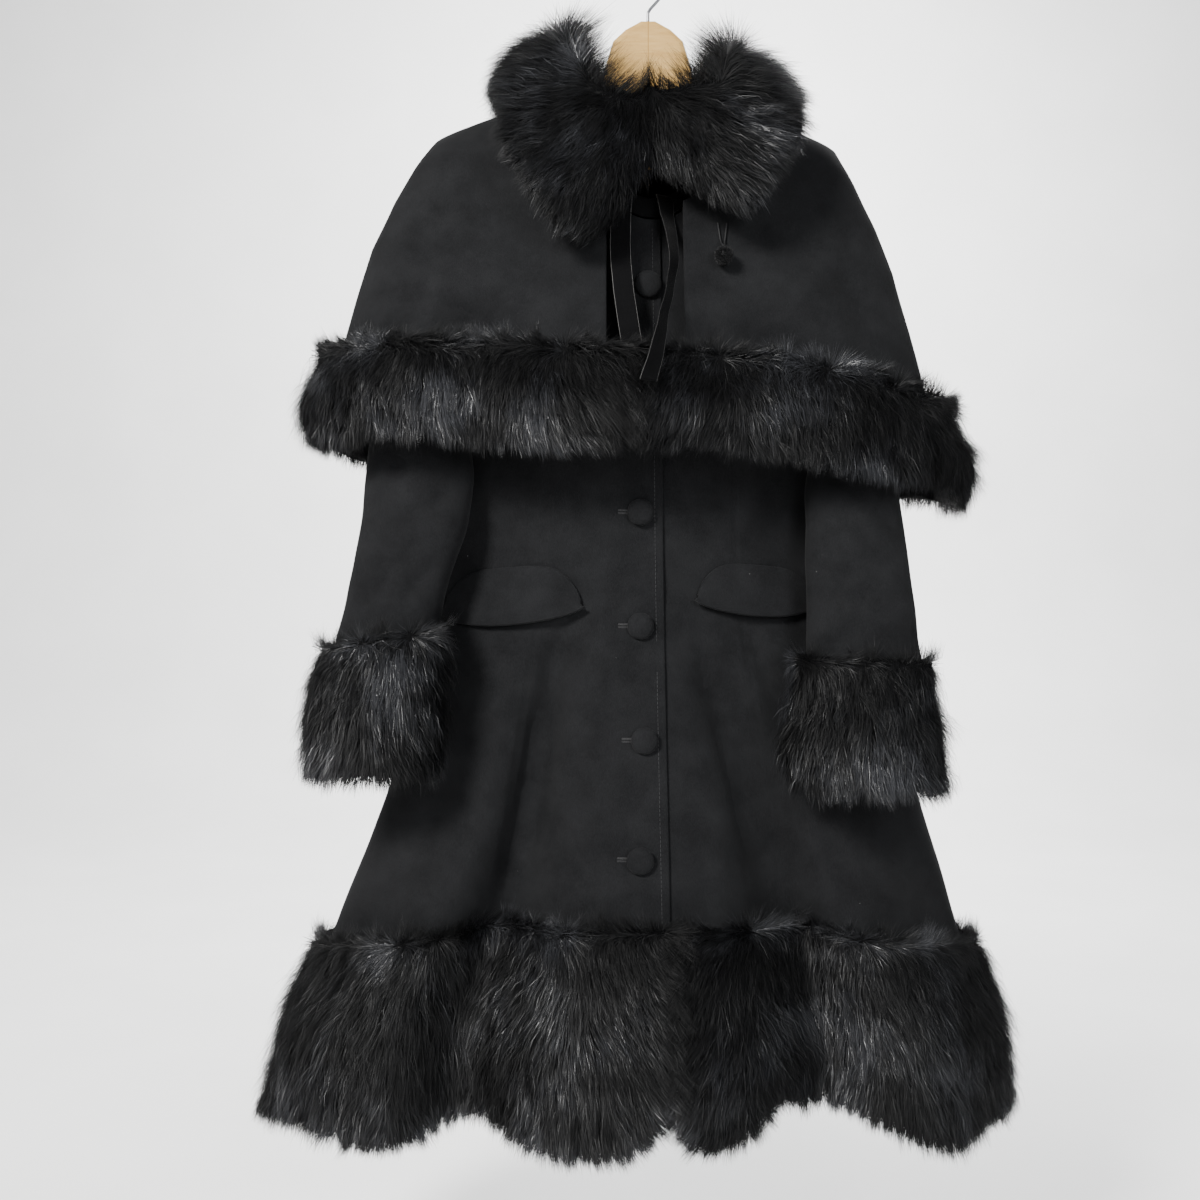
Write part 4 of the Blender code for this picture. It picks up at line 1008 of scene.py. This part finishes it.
def bent_blades(roots, middles, tips, half, narrow):
    """Points and faces of blades that bend at their middle, where they are narrower by this share."""
    waist = half * narrow
    points = np.stack([roots - half, roots + half, middles + waist, middles - waist, tips], 1)
    base = np.arange(len(points))[:, None] * 5
    return points.reshape(-1, 3), [base + np.array([0, 1, 2, 3]), base + np.array([3, 2, 4])]


def grow_hair(name, pelt, node):
    """Hairs over a surface(u, v, grow) in one mesh, drawn a little together into locks.

    The first hairs bend, and the rest, which take a third of the triangles, are straight.
    """
    draw = np.random.default_rng(pelt.seed)
    wanted = sum(pelt.hairs)
    tries = wanted * 3
    u, v = draw.uniform(0, 1, tries), draw.uniform(0, 1, tries)
    pick, near = draw.uniform(0, 1, tries), draw.uniform(0, 1, tries)
    v = np.where(pick < pelt.rim_top, 0.05 * near, v)
    v = np.where(pick > 1 - pelt.rim_low, 1 - 0.10 * near, v)
    sunk = np.where(v > 0.97, -0.012, -0.001) * draw.uniform(0, 1, tries)
    roots, normals, across, down = surface_frames(pelt.surface, u, v, sunk)
    step = 0.01
    ahead = pelt.surface(u + step, v, sunk) - roots
    below = pelt.surface(u, v - step, sunk) - roots
    weight = np.linalg.norm(np.cross(ahead, below), axis=-1)
    weight = weight * np.where(normals[:, 1] < 0.25, 1.0, pelt.back_share)
    keep = np.flatnonzero(draw.uniform(0, 1, tries) < weight / np.quantile(weight, 0.95))[:wanted]
    keep = draw.permutation(keep)
    u, v = u[keep], v[keep]
    roots, normals, across, down = (each[keep] for each in (roots, normals, across, down))
    ways, lengths, lifts = pelt.comb(u, v, roots, normals, across, down)
    count = len(keep)
    lengths = lengths * draw.uniform(*LENGTH_SPREAD, count)
    lifts = np.clip(lifts + draw.normal(0, LIFT_SPREAD, count), 0.08, 1.0)
    lengths = lengths * mix(1.0, BACK_LENGTH, smooth_step(normals[:, 1]))
    cells = np.floor(roots / LOCK_SIZE + draw.uniform(0, 0.5, (count, 1))).astype(int)
    _, lock = np.unique(cells, axis=0, return_inverse=True)
    lock = lock.ravel()
    size = np.bincount(lock)
    lengths = lengths * (1 + LOCK_UNEVEN * draw.normal(0, 1, len(size)).clip(-1.6, 1.6))[lock]
    centre = np.stack([np.bincount(lock, roots[:, k]) / size for k in range(3)], -1)
    sweep = draw.normal(0, LOCK_SPREAD, centre.shape)
    ways = unit(ways + draw.normal(0, WAY_SPREAD, ways.shape) + sweep[lock])
    rise = unit(normals * lifts[:, None] + ways * (1 - lifts)[:, None])
    fall = unit(normals * (lifts * 0.35)[:, None] + ways)
    middles = roots + rise * (lengths * BEND_PLACE)[:, None]
    tips = middles + fall * (lengths * (1 - BEND_PLACE))[:, None]
    tips -= (roots - centre[lock]) * LOCK_PULL
    middles -= (roots - centre[lock]) * LOCK_PULL * 0.4
    side = unit(np.cross(ways, normals))
    rolls = draw.normal(0, BLADE_ROLL, count)[:, None]
    blade = side * np.cos(rolls) + unit(np.cross(side, ways)) * np.sin(rolls)
    halves = blade * (HAIR_WIDTH / 2 * draw.uniform(*WIDTH_SPREAD, count))[:, None]
    curved = min(pelt.hairs[0], count)
    bent, faces = bent_blades(*(each[:curved] for each in (roots, middles, tips, halves)), WAIST_SHARE)
    plain = np.stack([roots - halves, roots + halves, tips], 1)[curved:]
    faces.append(len(bent) + np.arange(len(plain))[:, None] * 3 + np.array([0, 1, 2]))
    vertices = np.concatenate([bent, plain.reshape(-1, 3)])
    new_piece(name, vertices, faces, MATERIALS["fur"], node)


def fur_outside(depth, v):
    edge = mix(FUR_EDGE_SHARE, 1.0, np.sqrt(np.maximum(np.sin(pi * np.clip(v, 0.02, 0.98)), 0.0)))
    return depth * edge


def band_surface(form, side, top, bottom, front_x, depth, seed):
    """surface(u, v, grow) of half a fur band, from its front edge round the side to the back's middle."""
    front_share = 1 - side * float(shell_angle(form, front_x, HEM)) / pi
    front_share = front_share / (front_share + 1)

    def surface(u, v, grow):
        turn = 1 - u if side < 0 else u
        face = np.where(turn <= front_share, -1, 1)
        onward = np.where(turn <= front_share, turn / front_share, (1 - turn) / (1 - front_share))

        def angle_at(z):
            start = np.where(turn <= front_share, shell_angle(form, front_x, z), 0.0)
            return mix(start, side * pi / 2, onward)

        high, low = top(face, np.zeros(len(u))), bottom(face, np.zeros(len(u)))
        for _ in range(4):
            high, low = top(face, angle_at(high)), bottom(face, angle_at(low))
        z = mix(high + BAND_OVERLAP * np.clip(1 - v / 0.05, 0.0, 1.0), low, v)
        lumps = LUMP_RISE * waves(turn * 0.8, v * 0.16, seed, 0.075)
        thick = fur_outside(depth, v) * FUR_CORE + lumps
        return shell_point(form, face, angle_at(z), z, -HALF_SEAM, thick + grow)

    return surface


def pelt_piece(name, surface, columns, rows, depth, node, closed=False):
    """The pelt under the hairs, as a dark closed shell from the cloth's inner side outwards."""
    u = np.arange(columns) / columns if closed else np.linspace(0.0, 1.0, columns + 1)
    v = np.linspace(0.0, 1.0, rows + 1)
    shares, downs = np.meshgrid(u, v)
    points = surface(shares.ravel(), downs.ravel(), 0.0).reshape(*shares.shape, 3)
    push = 0.0008 * waves(points[..., 0] + points[..., 1], points[..., 2], 5, 0.02)
    thick = (fur_outside(depth, downs) * FUR_CORE * 0.8 + CLOTH)[..., None]
    return sheet_piece(name, points, push, thick, MATERIALS["fur_base"], node, closed, stride=3)


# --- The fur bands, cuffs and collar ---
def hanging_comb(length, swing, seed, size, front=0):
    """Hair that hangs down in soft waves, stands up at its top edge and is shorter at its lower one.

    front says which end of u is at a front opening: 1 the first, -1 the last and 0 neither.
    """

    def comb(u, v, roots, normals, across, down):
        sway = waves(roots[:, 0] + roots[:, 1], roots[:, 2] * 0.6, seed, 0.09)[:, None]
        fine = waves(roots[:, 0] - roots[:, 1], roots[:, 2], seed + 1, 0.03)[:, None]
        fall = down * 0.6 + np.array([0.0, 0.0, -0.6])
        ways = fall + across * (swing * sway + 0.16 * fine)
        top = smooth_step(1 - v * size / TUFT_HEIGHT)[:, None]
        ways = unit(mix(ways, -down * 0.55 + across * (0.8 * fine + 0.4 * sway), top * 0.9))
        low = smooth_step((v - 0.78) / 0.2)
        lengths = length * (1 + 0.14 * fine[:, 0]) * mix(1.0, 0.80, top[:, 0]) * mix(1.0, 0.74, low)
        lifts = 0.34 + 0.10 * fine[:, 0] + 0.24 * top[:, 0] + 0.10 * low
        if front:
            onward = u if front > 0 else 1 - u
            parting = smooth_step(1 - onward / PARTING_REACH)
            ways = unit(ways - across * (front * 0.75 * parting)[:, None])
            lifts = lifts + 0.18 * parting
        return ways, lengths, lifts

    return comb


Notch = namedtuple("Notch", "x width rise")
HEM_NOTCHES = table(
    Notch,
    (0.0070, 0.016, 0.026),
    (-0.150, 0.030, 0.006),
    (0.104, 0.020, 0.014),
    (-0.060, 0.030, -0.004),
    (0.058, 0.024, -0.006),
    (-0.235, 0.030, -0.006),
)


def notched_hem(face, angle):
    """The lower edge of the hem's fur at the front, with the gaps that its locks leave."""
    x = shell_x(COAT, angle, HEM)
    rise = PELT_CLEAR
    for notch in HEM_NOTCHES:
        rise = rise + notch.rise * np.exp(-(((x - notch.x) / notch.width) ** 2)) * (np.asarray(face) < 0)
    return coat_hem(face, angle) + rise


def cape_low(face, angle):
    return cape_fur_bottom(face, angle) + PELT_CLEAR


Band = namedtuple("Band", "name form top bottom front_x depth size hairs length seed cloth")


def make_bands():
    """The fur at the hem and at the cape's edge, each in a right and a left half."""
    bands = (
        Band("hem", COAT, coat_fur_top, notched_hem, lap_edge(HEM), HEM_FUR_DEPTH, 0.17, HEM_HAIRS, 0.029, 61,
             ("right_front", "left_front", "back")),
        Band("cape", CAPE, cape_hem, cape_low, CAPE_FUR_MEET, CAPE_FUR_DEPTH, 0.09, CAPE_HAIRS, 0.028, 71,
             ("cape_right_front", "cape_left_front", "cape_back_panel")),
    )
    for band in bands:
        right, left, back = band.cloth
        for side, side_name, front in ((-1, "right", right), (1, "left", left)):
            front_x = band.front_x + side * HALF_SEAM * 3
            surface = band_surface(band.form, side, band.top, band.bottom, front_x, band.depth, band.seed)
            node = f"{band.name}_fur_{side_name}"
            backing = pelt_piece(f"{band.name}_pelt_{side_name}", surface, 150, 16, band.depth, node)
            seed = band.seed + side
            comb = hanging_comb(band.length, 0.34, seed, band.size, side)
            pelt = Pelt(surface, comb, band.hairs, seed, 0.55, 0.13, 0.16)
            grow_hair(f"{band.name}_hair_{side_name}", pelt, node)
            declare_sheet(backing)


def make_cuffs():
    for name, side, rings, seed in (("right", -1, CUFF_RIGHT_RINGS, 81), ("left", 1, CUFF_LEFT_RINGS, 91)):
        def surface(u, v, grow, rings=rings, side=side, seed=seed):
            turn = u if side < 0 else 1 - u
            share = mix(0.0, 0.93, v)
            around = 2 * pi * turn
            lumps = LUMP_RISE * waves(np.sin(around) * 0.04, np.cos(around) * 0.05 + v * 0.1, seed, 0.06)
            thick = fur_outside(CUFF_FUR_DEPTH, share) * FUR_CORE + lumps
            point = ring_point(rings, share, turn, thick + grow)
            point[..., 2] += CUFF_OVERLAP * np.clip(1 - v / 0.06, 0.0, 1.0)
            return point

        node = f"cuff_fur_{name}"
        backing = pelt_piece(f"cuff_pelt_{name}", surface, 72, 20, CUFF_FUR_DEPTH, node, closed=True)
        pelt = Pelt(surface, hanging_comb(0.026, 0.30, seed, 0.12), CUFF_HAIRS, seed, 0.6, 0.10, 0.14)
        grow_hair(f"cuff_hair_{name}", pelt, node)
        declare_sheet(backing)


def collar_cut(share):
    """Where a cut of the collar meets the neck and where its free edge lies."""
    neck, edge = (np.stack([along(COLLAR_CUTS, f"{end}_{axis}", share) for axis in "xyz"], -1)
                  for end in ("neck", "edge"))
    front = smooth_step(0.5 - neck[..., 1] / 0.06)
    neck[..., 0] *= mix(1.0, COLLAR_NECK_SHARE, front)
    return neck, edge


def collar_surface(u, v, grow):
    """The collar's roll: u runs from its left end round the back to its right end, v from neck to edge."""
    share = np.clip(1 - u, 0.0, 1.0)
    grow = np.broadcast_to(np.asarray(grow, float), np.shape(u))[..., None]
    neck, edge = collar_cut(share)
    before = sum(collar_cut(np.maximum(share - COLLAR_STEP, 0.0))) / 2
    after = sum(collar_cut(np.minimum(share + COLLAR_STEP, 1.0))) / 2
    half = (edge - neck) / 2
    out = unit(np.cross(after - before, half))
    half_thick = along(COLLAR_CUTS, "half_thick", share)[..., None]
    middle = (neck + edge) / 2 + out * half_thick
    shrink = np.sqrt(np.maximum(1 - (2 * share - 1) ** 24, COLLAR_END_SHARE))[..., None]
    turn = (pi * (1 - v))[..., None]
    lumps = 1 + 0.07 * waves(share * 0.6, v * 0.1, 105, 0.06)[..., None]
    offset = half * np.cos(turn) * COLLAR_CORE_WIDTH + out * (half_thick * np.sin(turn)) * COLLAR_CORE
    point = middle + (offset * lumps + unit(offset) * grow) * shrink
    behind = smooth_step((middle[..., 1] + 0.02) / 0.06)
    below = np.clip((middle[..., 2] - point[..., 2]) / 0.03, 0.0, 1.0)
    point[..., 2] -= COLLAR_BACK_DROP * behind * below
    return point


def collar_comb(u, v, roots, normals, across, down):
    """Hair that fans out from above the front opening, stands up along the top and fills in the neck."""
    sway = waves(roots[:, 0], roots[:, 2], 103, 0.06)[:, None]
    fine = waves(roots[:, 0] + roots[:, 1], roots[:, 2], 104, 0.025)[:, None]
    fan = unit((roots - COLLAR_FAN) * [1.0, 0.3, 1.0])
    front = smooth_step(0.8 - normals[:, 1] * 1.6)[:, None]
    ways = mix(down * 0.9, fan, front) + across * (0.22 * sway + 0.14 * fine)
    inner = smooth_step((0.26 - v) / 0.26)[:, None]
    out = roots[:, 0] - COLLAR_FRONT_X
    middle = smooth_step(1 - np.abs(out) / 0.03)
    side = -np.sign(out) * mix(0.80, 0.25, middle)
    inward = unit(np.stack([side, np.zeros(len(u)), mix(0.62, 0.90, middle)], -1))
    ways -= normals * np.sum(ways * normals, axis=-1, keepdims=True)
    ways = mix(unit(ways), inward, inner)
    low = smooth_step((v - 0.60) / 0.45)
    lengths = 0.025 * (1 + 0.16 * fine[:, 0]) * mix(1.0, mix(1.70, 1.20, middle), inner[:, 0])
    lengths = lengths * mix(1.0, 0.42, low)
    lifts = 0.36 + 0.10 * fine[:, 0] - 0.12 * inner[:, 0]
    return unit(ways), lengths, lifts


def make_collar():
    """The collar's pelt, a closed roll, and its hair, which leaves the side that lies on the cape bare."""

    def surface(u, v, grow):
        return collar_surface(mix(0.002, 0.998, u), v, grow)

    def haired(u, v, grow):
        return surface(u, mix(*COLLAR_HAIRED, v), grow)

    def comb(u, v, roots, normals, across, down):
        return collar_comb(u, mix(*COLLAR_HAIRED, v), roots, normals, across, down)

    columns, rows = 150, 28
    u = np.linspace(0, 1, columns + 1)
    v = np.arange(rows) / rows
    shares, downs = np.meshgrid(u, v)
    points = surface(shares.ravel(), 2 * downs.ravel() - 0.5, 0.0).reshape(-1, 3)
    faces = grid_faces(rows, columns, columns + 1) % len(points)
    first = np.arange(rows) * (columns + 1)
    ends = np.array([first, (first + columns)[::-1]])
    backing = new_piece("collar_pelt", points, [faces, ends], MATERIALS["fur_base"], "collar_fur")
    grow_hair("collar_hair", Pelt(haired, comb, COLLAR_HAIRS, 101, 0.75, 0.24, 0.04), "collar_fur")


# --- The pompom and its strings ---
def pompom_middle():
    return cape_front(POMPOM_X, POMPOM_Z, POMPOM_RADIUS + POMPOM_GAP)


def string_route():
    """From the cape's front down to the pompom and back, as a narrow V."""
    low = pompom_middle() + [0.0, 0.0, POMPOM_RADIUS + STRING_RADIUS + SEAM]
    steps = 20
    route = []
    for step in range(steps + 1):
        turn = mix(-1.0, 1.0, step / steps)
        rise = STRING_REACH * abs(turn) ** 1.35
        point = cape_front(low[0] + STRING_SPREAD * turn, low[2] + rise, STRING_LIFT)
        point[1] = mix(low[1], point[1], float(smooth_step(2 * abs(turn))))
        route.append(point)
    return np.array(route)


def ball(middle, radius, rows, around):
    """Points and faces of a closed round core. The last two points are its top and its lower end."""
    polar = (pi * np.arange(1, rows) / rows)[:, None]
    turn = (2 * pi * np.arange(around) / around)[None, :]
    flat = np.sin(polar)
    ring = np.stack(np.broadcast_arrays(flat * np.cos(turn), flat * np.sin(turn), np.cos(polar)), -1)
    points = np.concatenate([ring.reshape(-1, 3), [[0, 0, 1], [0, 0, -1]]])
    index = np.arange(around)
    onward = (index + 1) % around
    last = (rows - 2) * around
    top, low = np.full(around, len(points) - 2), np.full(around, len(points) - 1)
    faces = [grid_faces(rows - 2, around, around), np.stack([top, index, onward], -1),
             np.stack([low, last + onward, last + index], -1)]
    return middle + points * radius, faces


def make_pompom():
    """A ball of yarn ends on a wound core, hung from a doubled string."""
    draw = np.random.default_rng(55)
    middle = pompom_middle()
    ways = unit(draw.normal(0, 1, (YARN_ENDS, 3)))
    spread = unit(ways + draw.normal(0, 0.07, ways.shape))
    roots = middle + ways * 0.003
    tips = middle + spread * POMPOM_RADIUS * draw.uniform(0.84, 1.03, (YARN_ENDS, 1))
    half = unit(np.cross(ways, draw.normal(0, 1, ways.shape))) * YARN_HALF_WIDTH
    yarn, faces = bent_blades(roots, mix(roots, tips, 0.7), tips, half, 1.0)
    core, core_faces = ball(middle, POMPOM_RADIUS * 0.66, 8, 14)
    faces += [len(yarn) + each for each in core_faces]
    points = np.concatenate([yarn, core])
    pompom = new_piece("pompom_yarn", points, faces, MATERIALS["trim"], "pompom")

    route = string_route()
    curve = bpy.data.curves.new("pompom_cord", "CURVE")
    curve.dimensions = "3D"
    curve.bevel_depth = STRING_RADIUS
    curve.bevel_resolution = 3
    curve.use_fill_caps = True
    spline = curve.splines.new("POLY")
    spline.points.add(len(route) - 1)
    for knot, point in zip(spline.points, route):
        knot.co = (*point, 1.0)
    spline.use_smooth = True
    curve.materials.append(MATERIALS["trim"])
    cord = placed("pompom_cord", curve, "pompom_strings")


# --- Materials ---
def add_node(material, kind, **values):
    """A node. Names in values are its settings, or its sockets' with _ for a space."""
    node = material.node_tree.nodes.new(kind)
    for name, value in values.items():
        if hasattr(node, name):
            setattr(node, name, value)
        else:
            node.inputs[name.replace("_", " ")].default_value = value
    return node


def shader_of(material):
    return material.node_tree.nodes["Principled BSDF"]


def new_material(name, colour, roughness, **values):
    """A Principled material. Names in values are its sockets', with _ for a space."""
    made = bpy.data.materials.new(name)
    made.use_nodes = True
    for socket, value in {"Base Color": (*colour, 1.0), "Roughness": roughness, **values}.items():
        shader_of(made).inputs[socket.replace("_", " ")].default_value = value
    return made


def join(material, source, output, target, socket):
    material.node_tree.links.new(source.outputs[output], target.inputs[socket])


def texture(material, kind, stretch=None, **values):
    """A texture over the piece's own coordinates, or over these scaled along X, Y and Z."""
    source, output = add_node(material, "ShaderNodeTexCoord"), "Object"
    if stretch:
        scaled = add_node(material, "ShaderNodeMapping", Scale=stretch)
        join(material, source, output, scaled, "Vector")
        source, output = scaled, "Vector"
    node = add_node(material, f"ShaderNodeTex{kind}", **values)
    join(material, source, output, node, "Vector")
    return node


def computed(material, operation, *terms):
    """A Math node. Each term is a number or a node with the name of its output."""
    node = add_node(material, "ShaderNodeMath", operation=operation)
    for index, term in enumerate(terms):
        if isinstance(term, tuple):
            join(material, *term, node, index)
        else:
            node.inputs[index].default_value = term
    return node


def ramp(material, source, output, *stops):
    """A colour ramp from (place, colour) stops."""
    node = add_node(material, "ShaderNodeValToRGB")
    while len(node.color_ramp.elements) < len(stops):
        node.color_ramp.elements.new(0.5)
    for element, (place, colour) in zip(node.color_ramp.elements, stops):
        element.position = place
        element.color = (*colour, 1.0)
    join(material, source, output, node, "Fac")
    return node


def coloured(material, source, output="Color"):
    join(material, source, output, shader_of(material), "Base Color")


def overlaid(material, colour, where, over):
    """The surface's colour, with another over it where the value is 1."""
    node = add_node(material, "ShaderNodeMix", data_type="RGBA")
    factor, under, upper, result = 0, 6, 7, 2
    node.inputs[upper].default_value = (*over, 1.0)
    join(material, where, "Value", node, factor)
    join(material, colour, "Color", node, under)
    coloured(material, node, result)


def bumped(material, source, strength, distance):
    bump = add_node(material, "ShaderNodeBump", Strength=strength, Distance=distance)
    join(material, source, "Fac", bump, "Height")
    join(material, bump, "Normal", shader_of(material), "Normal")


def roughened(material, source, output, **places):
    """Roughness that follows a value from one place of its range to another."""
    node = add_node(material, "ShaderNodeMapRange", **places)
    join(material, source, output, node, "Value")
    join(material, node, "Result", shader_of(material), "Roughness")


def wool_material(name, speck):
    """Napped cloth: uneven depth of black, a fine fibrous nap and a few pale specks of lint."""
    made = new_material(name, WOOL_DARK, 0.92, Sheen_Weight=0.02, Sheen_Roughness=0.5,
                        Specular_IOR_Level=0.04)
    broad = texture(made, "Noise", Scale=26.0, Detail=4.0, Roughness=0.6)
    nap = texture(made, "Noise", (1.0, 1.0, 0.35), Scale=1500.0, Detail=3.0, Roughness=0.65)
    share = computed(made, "MULTIPLY", (broad, "Fac"), 0.45)
    blend = computed(made, "MULTIPLY_ADD", (nap, "Fac"), 0.55, (share, "Value"))
    lint = texture(made, "Voronoi", Scale=42.0, feature="F1")
    near = computed(made, "LESS_THAN", (lint, "Distance"), speck)
    colour = ramp(made, blend, "Value", (0.36, WOOL_DARK), (0.64, WOOL_LIGHT))
    overlaid(made, colour, near, (0.16, 0.16, 0.155))
    bumped(made, nap, 0.35, 0.0006)
    return made


def fur_material():
    """Black hair, glossier in some patches and strands than in others, with a lighter, bluish colour there
    that is a painted highlight.
    """
    made = new_material("fur_hair", BLACK, 0.4, Specular_IOR_Level=0.20)
    patches = texture(made, "Noise", Scale=13.0, Detail=4.0, Roughness=0.60)
    strand = add_node(made, "ShaderNodeNewGeometry")
    locks = computed(made, "MULTIPLY_ADD", (strand, "Random Per Island"), 0.16, (patches, "Fac"))
    # Painted highlight: the ramp's lighter, bluish top stop marks the glossy patches and strands; below it
    # the hair's own black varies at random.
    coloured(made, ramp(made, locks, "Value", (0.50, (0.0006, 0.0006, 0.0007)),
                        (0.62, (0.0024, 0.0024, 0.0027)), (0.75, (0.0260, 0.0267, 0.0295))))
    roughened(made, locks, "Value", From_Min=0.46, From_Max=0.72, To_Min=0.66, To_Max=0.27)
    return made


def base_material():
    """The dense short hair under the long one."""
    made = new_material("fur_underwool", BLACK, 0.9, Specular_IOR_Level=0.05)
    hair = texture(made, "Noise", (1.0, 1.0, 0.15), Scale=700.0, Detail=2.0)
    coloured(made, ramp(made, hair, "Fac", (0.4, (0.0012, 0.0012, 0.0013)), (0.7, (0.0035, 0.0035, 0.0038))))
    bumped(made, hair, 0.8, 0.001)
    return made


def velvet_material():
    """Black pile with a soft bright edge to its folds."""
    made = new_material("velvet_pile", BLACK, 0.85, Sheen_Weight=0.05, Sheen_Roughness=0.3,
                        Specular_IOR_Level=0.05)
    pile = texture(made, "Noise", Scale=2600.0, Detail=2.0)
    coloured(made, ramp(made, pile, "Fac", (0.35, (0.0010, 0.0010, 0.0011)), (0.7, (0.0035, 0.0035, 0.0038))))
    bumped(made, pile, 0.5, 0.0004)
    return made


def woven_material(name, colour, light, scale=3200.0):
    """Tightly woven or twisted thread."""
    made = new_material(name, colour, 0.7, Specular_IOR_Level=0.35)
    weave = texture(made, "Wave", Scale=scale / 6, Distortion=1.5, Detail=1.0)
    coloured(made, ramp(made, weave, "Fac", (0.3, colour), (0.8, light)))
    bumped(made, weave, 0.5, 0.0002)
    return made


def wood_material():
    """Pale lacquered beech with fine lengthwise flecks and a glue line at the middle."""
    made = new_material("beech", (0.36, 0.20, 0.034), 0.55, Coat_Weight=0.02, Coat_Roughness=0.30,
                        Specular_IOR_Level=0.15)
    grain = texture(made, "Noise", (0.12, 1.0, 1.0), Scale=260.0, Detail=6.0, Roughness=0.65, Distortion=0.4)
    colour = ramp(made, grain, "Fac", (0.30, (0.34, 0.198, 0.060)), (0.52, (0.40, 0.248, 0.084)),
                  (0.74, (0.46, 0.298, 0.112)))
    apart = add_node(made, "ShaderNodeSeparateXYZ")
    join(made, add_node(made, "ShaderNodeTexCoord"), "Object", apart, "Vector")
    glued = computed(made, "COMPARE", (apart, "X"), 0.0, 0.0005)
    overlaid(made, colour, glued, (0.28, 0.160, 0.045))
    bumped(made, grain, 0.15, 0.0003)
    return made


def steel_material():
    made = new_material("hook_wire", (0.12, 0.12, 0.125), 0.38, Metallic=1.0)
    drawn = texture(made, "Noise", Scale=900.0, Detail=3.0)
    roughened(made, drawn, "Fac", To_Min=0.28, To_Max=0.46)
    return made


def floor_material():
    made = new_material("pale_floor", (0.80, 0.80, 0.79), 0.85)
    mottle = texture(made, "Noise", Scale=3.0, Detail=4.0)
    coloured(made, ramp(made, mottle, "Fac", (0.3, (0.78, 0.78, 0.775)), (0.7, (0.83, 0.83, 0.825))))
    return made


MATERIALS = {
    "wool": wool_material("wool_cloth", 0.012),
    "button": wool_material("button_wool", 0.004),
    "fur": fur_material(),
    "fur_base": base_material(),
    "velvet": velvet_material(),
    "selvedge": woven_material("ribbon_selvedge", (0.036, 0.035, 0.034), (0.085, 0.083, 0.080)),
    "thread": woven_material("sewing_thread", (0.004, 0.004, 0.0044), (0.016, 0.016, 0.017)),
    "trim": woven_material("yarn", BLACK, (0.008, 0.008, 0.0088), 5200.0),
    "wood": wood_material(),
    "steel": steel_material(),
}


# --- The hanger keeps its solids ---
def dress_node(name, material):
    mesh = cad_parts[name].data
    mesh.materials.clear()
    mesh.materials.append(material)


# --- Stage ---
def make_stage():
    """A floor that curves up into a wall behind the coat."""
    half_size, floor_z, corner, wall_y, wall_top = 4.5, -1.34, 1.2, 3.4, 3.2
    profile = [(-half_size, floor_z)]
    for step in range(17):
        turn = pi / 2 * step / 16
        profile.append((wall_y - corner + corner * sin(turn), floor_z + corner * (1 - cos(turn))))
    profile.append((wall_y, wall_top))
    vertices = [(x, y, z) for y, z in profile for x in (-half_size, half_size)]
    faces = grid_faces(len(profile) - 1, 1, 2, flip=True)
    mesh = bpy.data.meshes.new("studio_floor")
    mesh.from_pydata(vertices, [], faces.tolist())
    mesh.shade_smooth()
    mesh.materials.append(floor_material())
    linked("studio_floor", mesh)


def area_light(name, place, aim, size, power, tint):
    light = bpy.data.lights.new(name, "AREA")
    light.shape = "DISK"
    light.size = size
    light.energy = power
    light.color = tint
    lamp = linked(name, light)
    lamp.visible_camera = False
    lamp.location = place
    lamp.rotation_euler = (Vector(aim) - Vector(place)).to_track_quat("-Z", "Y").to_euler()


def make_light():
    world = bpy.data.worlds.new("studio")
    bpy.context.scene.world = world
    world.use_nodes = True
    background = world.node_tree.nodes["Background"]
    background.inputs["Color"].default_value = (0.93, 0.95, 1.0, 1.0)
    background.inputs["Strength"].default_value = 0.36
    white = (1.0, 1.0, 1.0)
    area_light("key", (-1.5, -2.15, 0.8), COAT_MIDDLE, 0.8, 228.0, (1.0, 0.99, 0.97))
    area_light("fill", (1.0, -2.6, 0.0), COAT_MIDDLE, 1.2, 64.0, (0.95, 0.97, 1.0))
    area_light("back", (0.9, 1.9, 1.4), COAT_MIDDLE, 1.4, 60.0, white)
    area_light("wall", (0.3, 1.2, 1.3), (0.2, 3.4, -0.3), 1.6, 250.0, white)


def make_camera():
    """The photograph's view: level, square to the coat's front and a little left of its middle."""
    camera = bpy.data.cameras.new("photo_camera")
    camera.sensor_fit = "HORIZONTAL"
    camera.sensor_width = 36.0
    camera.lens = PHOTO_LENS
    viewer = linked("photo_camera", camera)
    viewer.location = PHOTO_PLACE
    viewer.rotation_euler = (radians(90), 0.0, 0.0)
    bpy.context.scene.camera = viewer


make_camera()
make_pompom()
make_cloth()
make_sleeve("right", SLEEVE_RIGHT_RINGS, -1, SLEEVE_RIGHT_CREASES, 21)
make_sleeve("left", SLEEVE_LEFT_RINGS, 1, SLEEVE_LEFT_CREASES, 22)
make_flap("flap_right", FLAP_RIGHT)
make_flap("flap_left", FLAP_LEFT)
for button in BUTTONS:
    make_button(button)
make_buttonholes()
make_top_stitches()
make_neck_band()
make_ribbon("ribbon_right", RIBBON_RIGHT_POINTS)
make_ribbon("ribbon_left", RIBBON_LEFT_POINTS)
make_bands()
make_cuffs()
make_collar()
dress_node("hanger_wood", MATERIALS["wood"])
dress_node("hanger_hook", MATERIALS["steel"])
make_stage()
make_light()

bpy.context.view_layer.update()
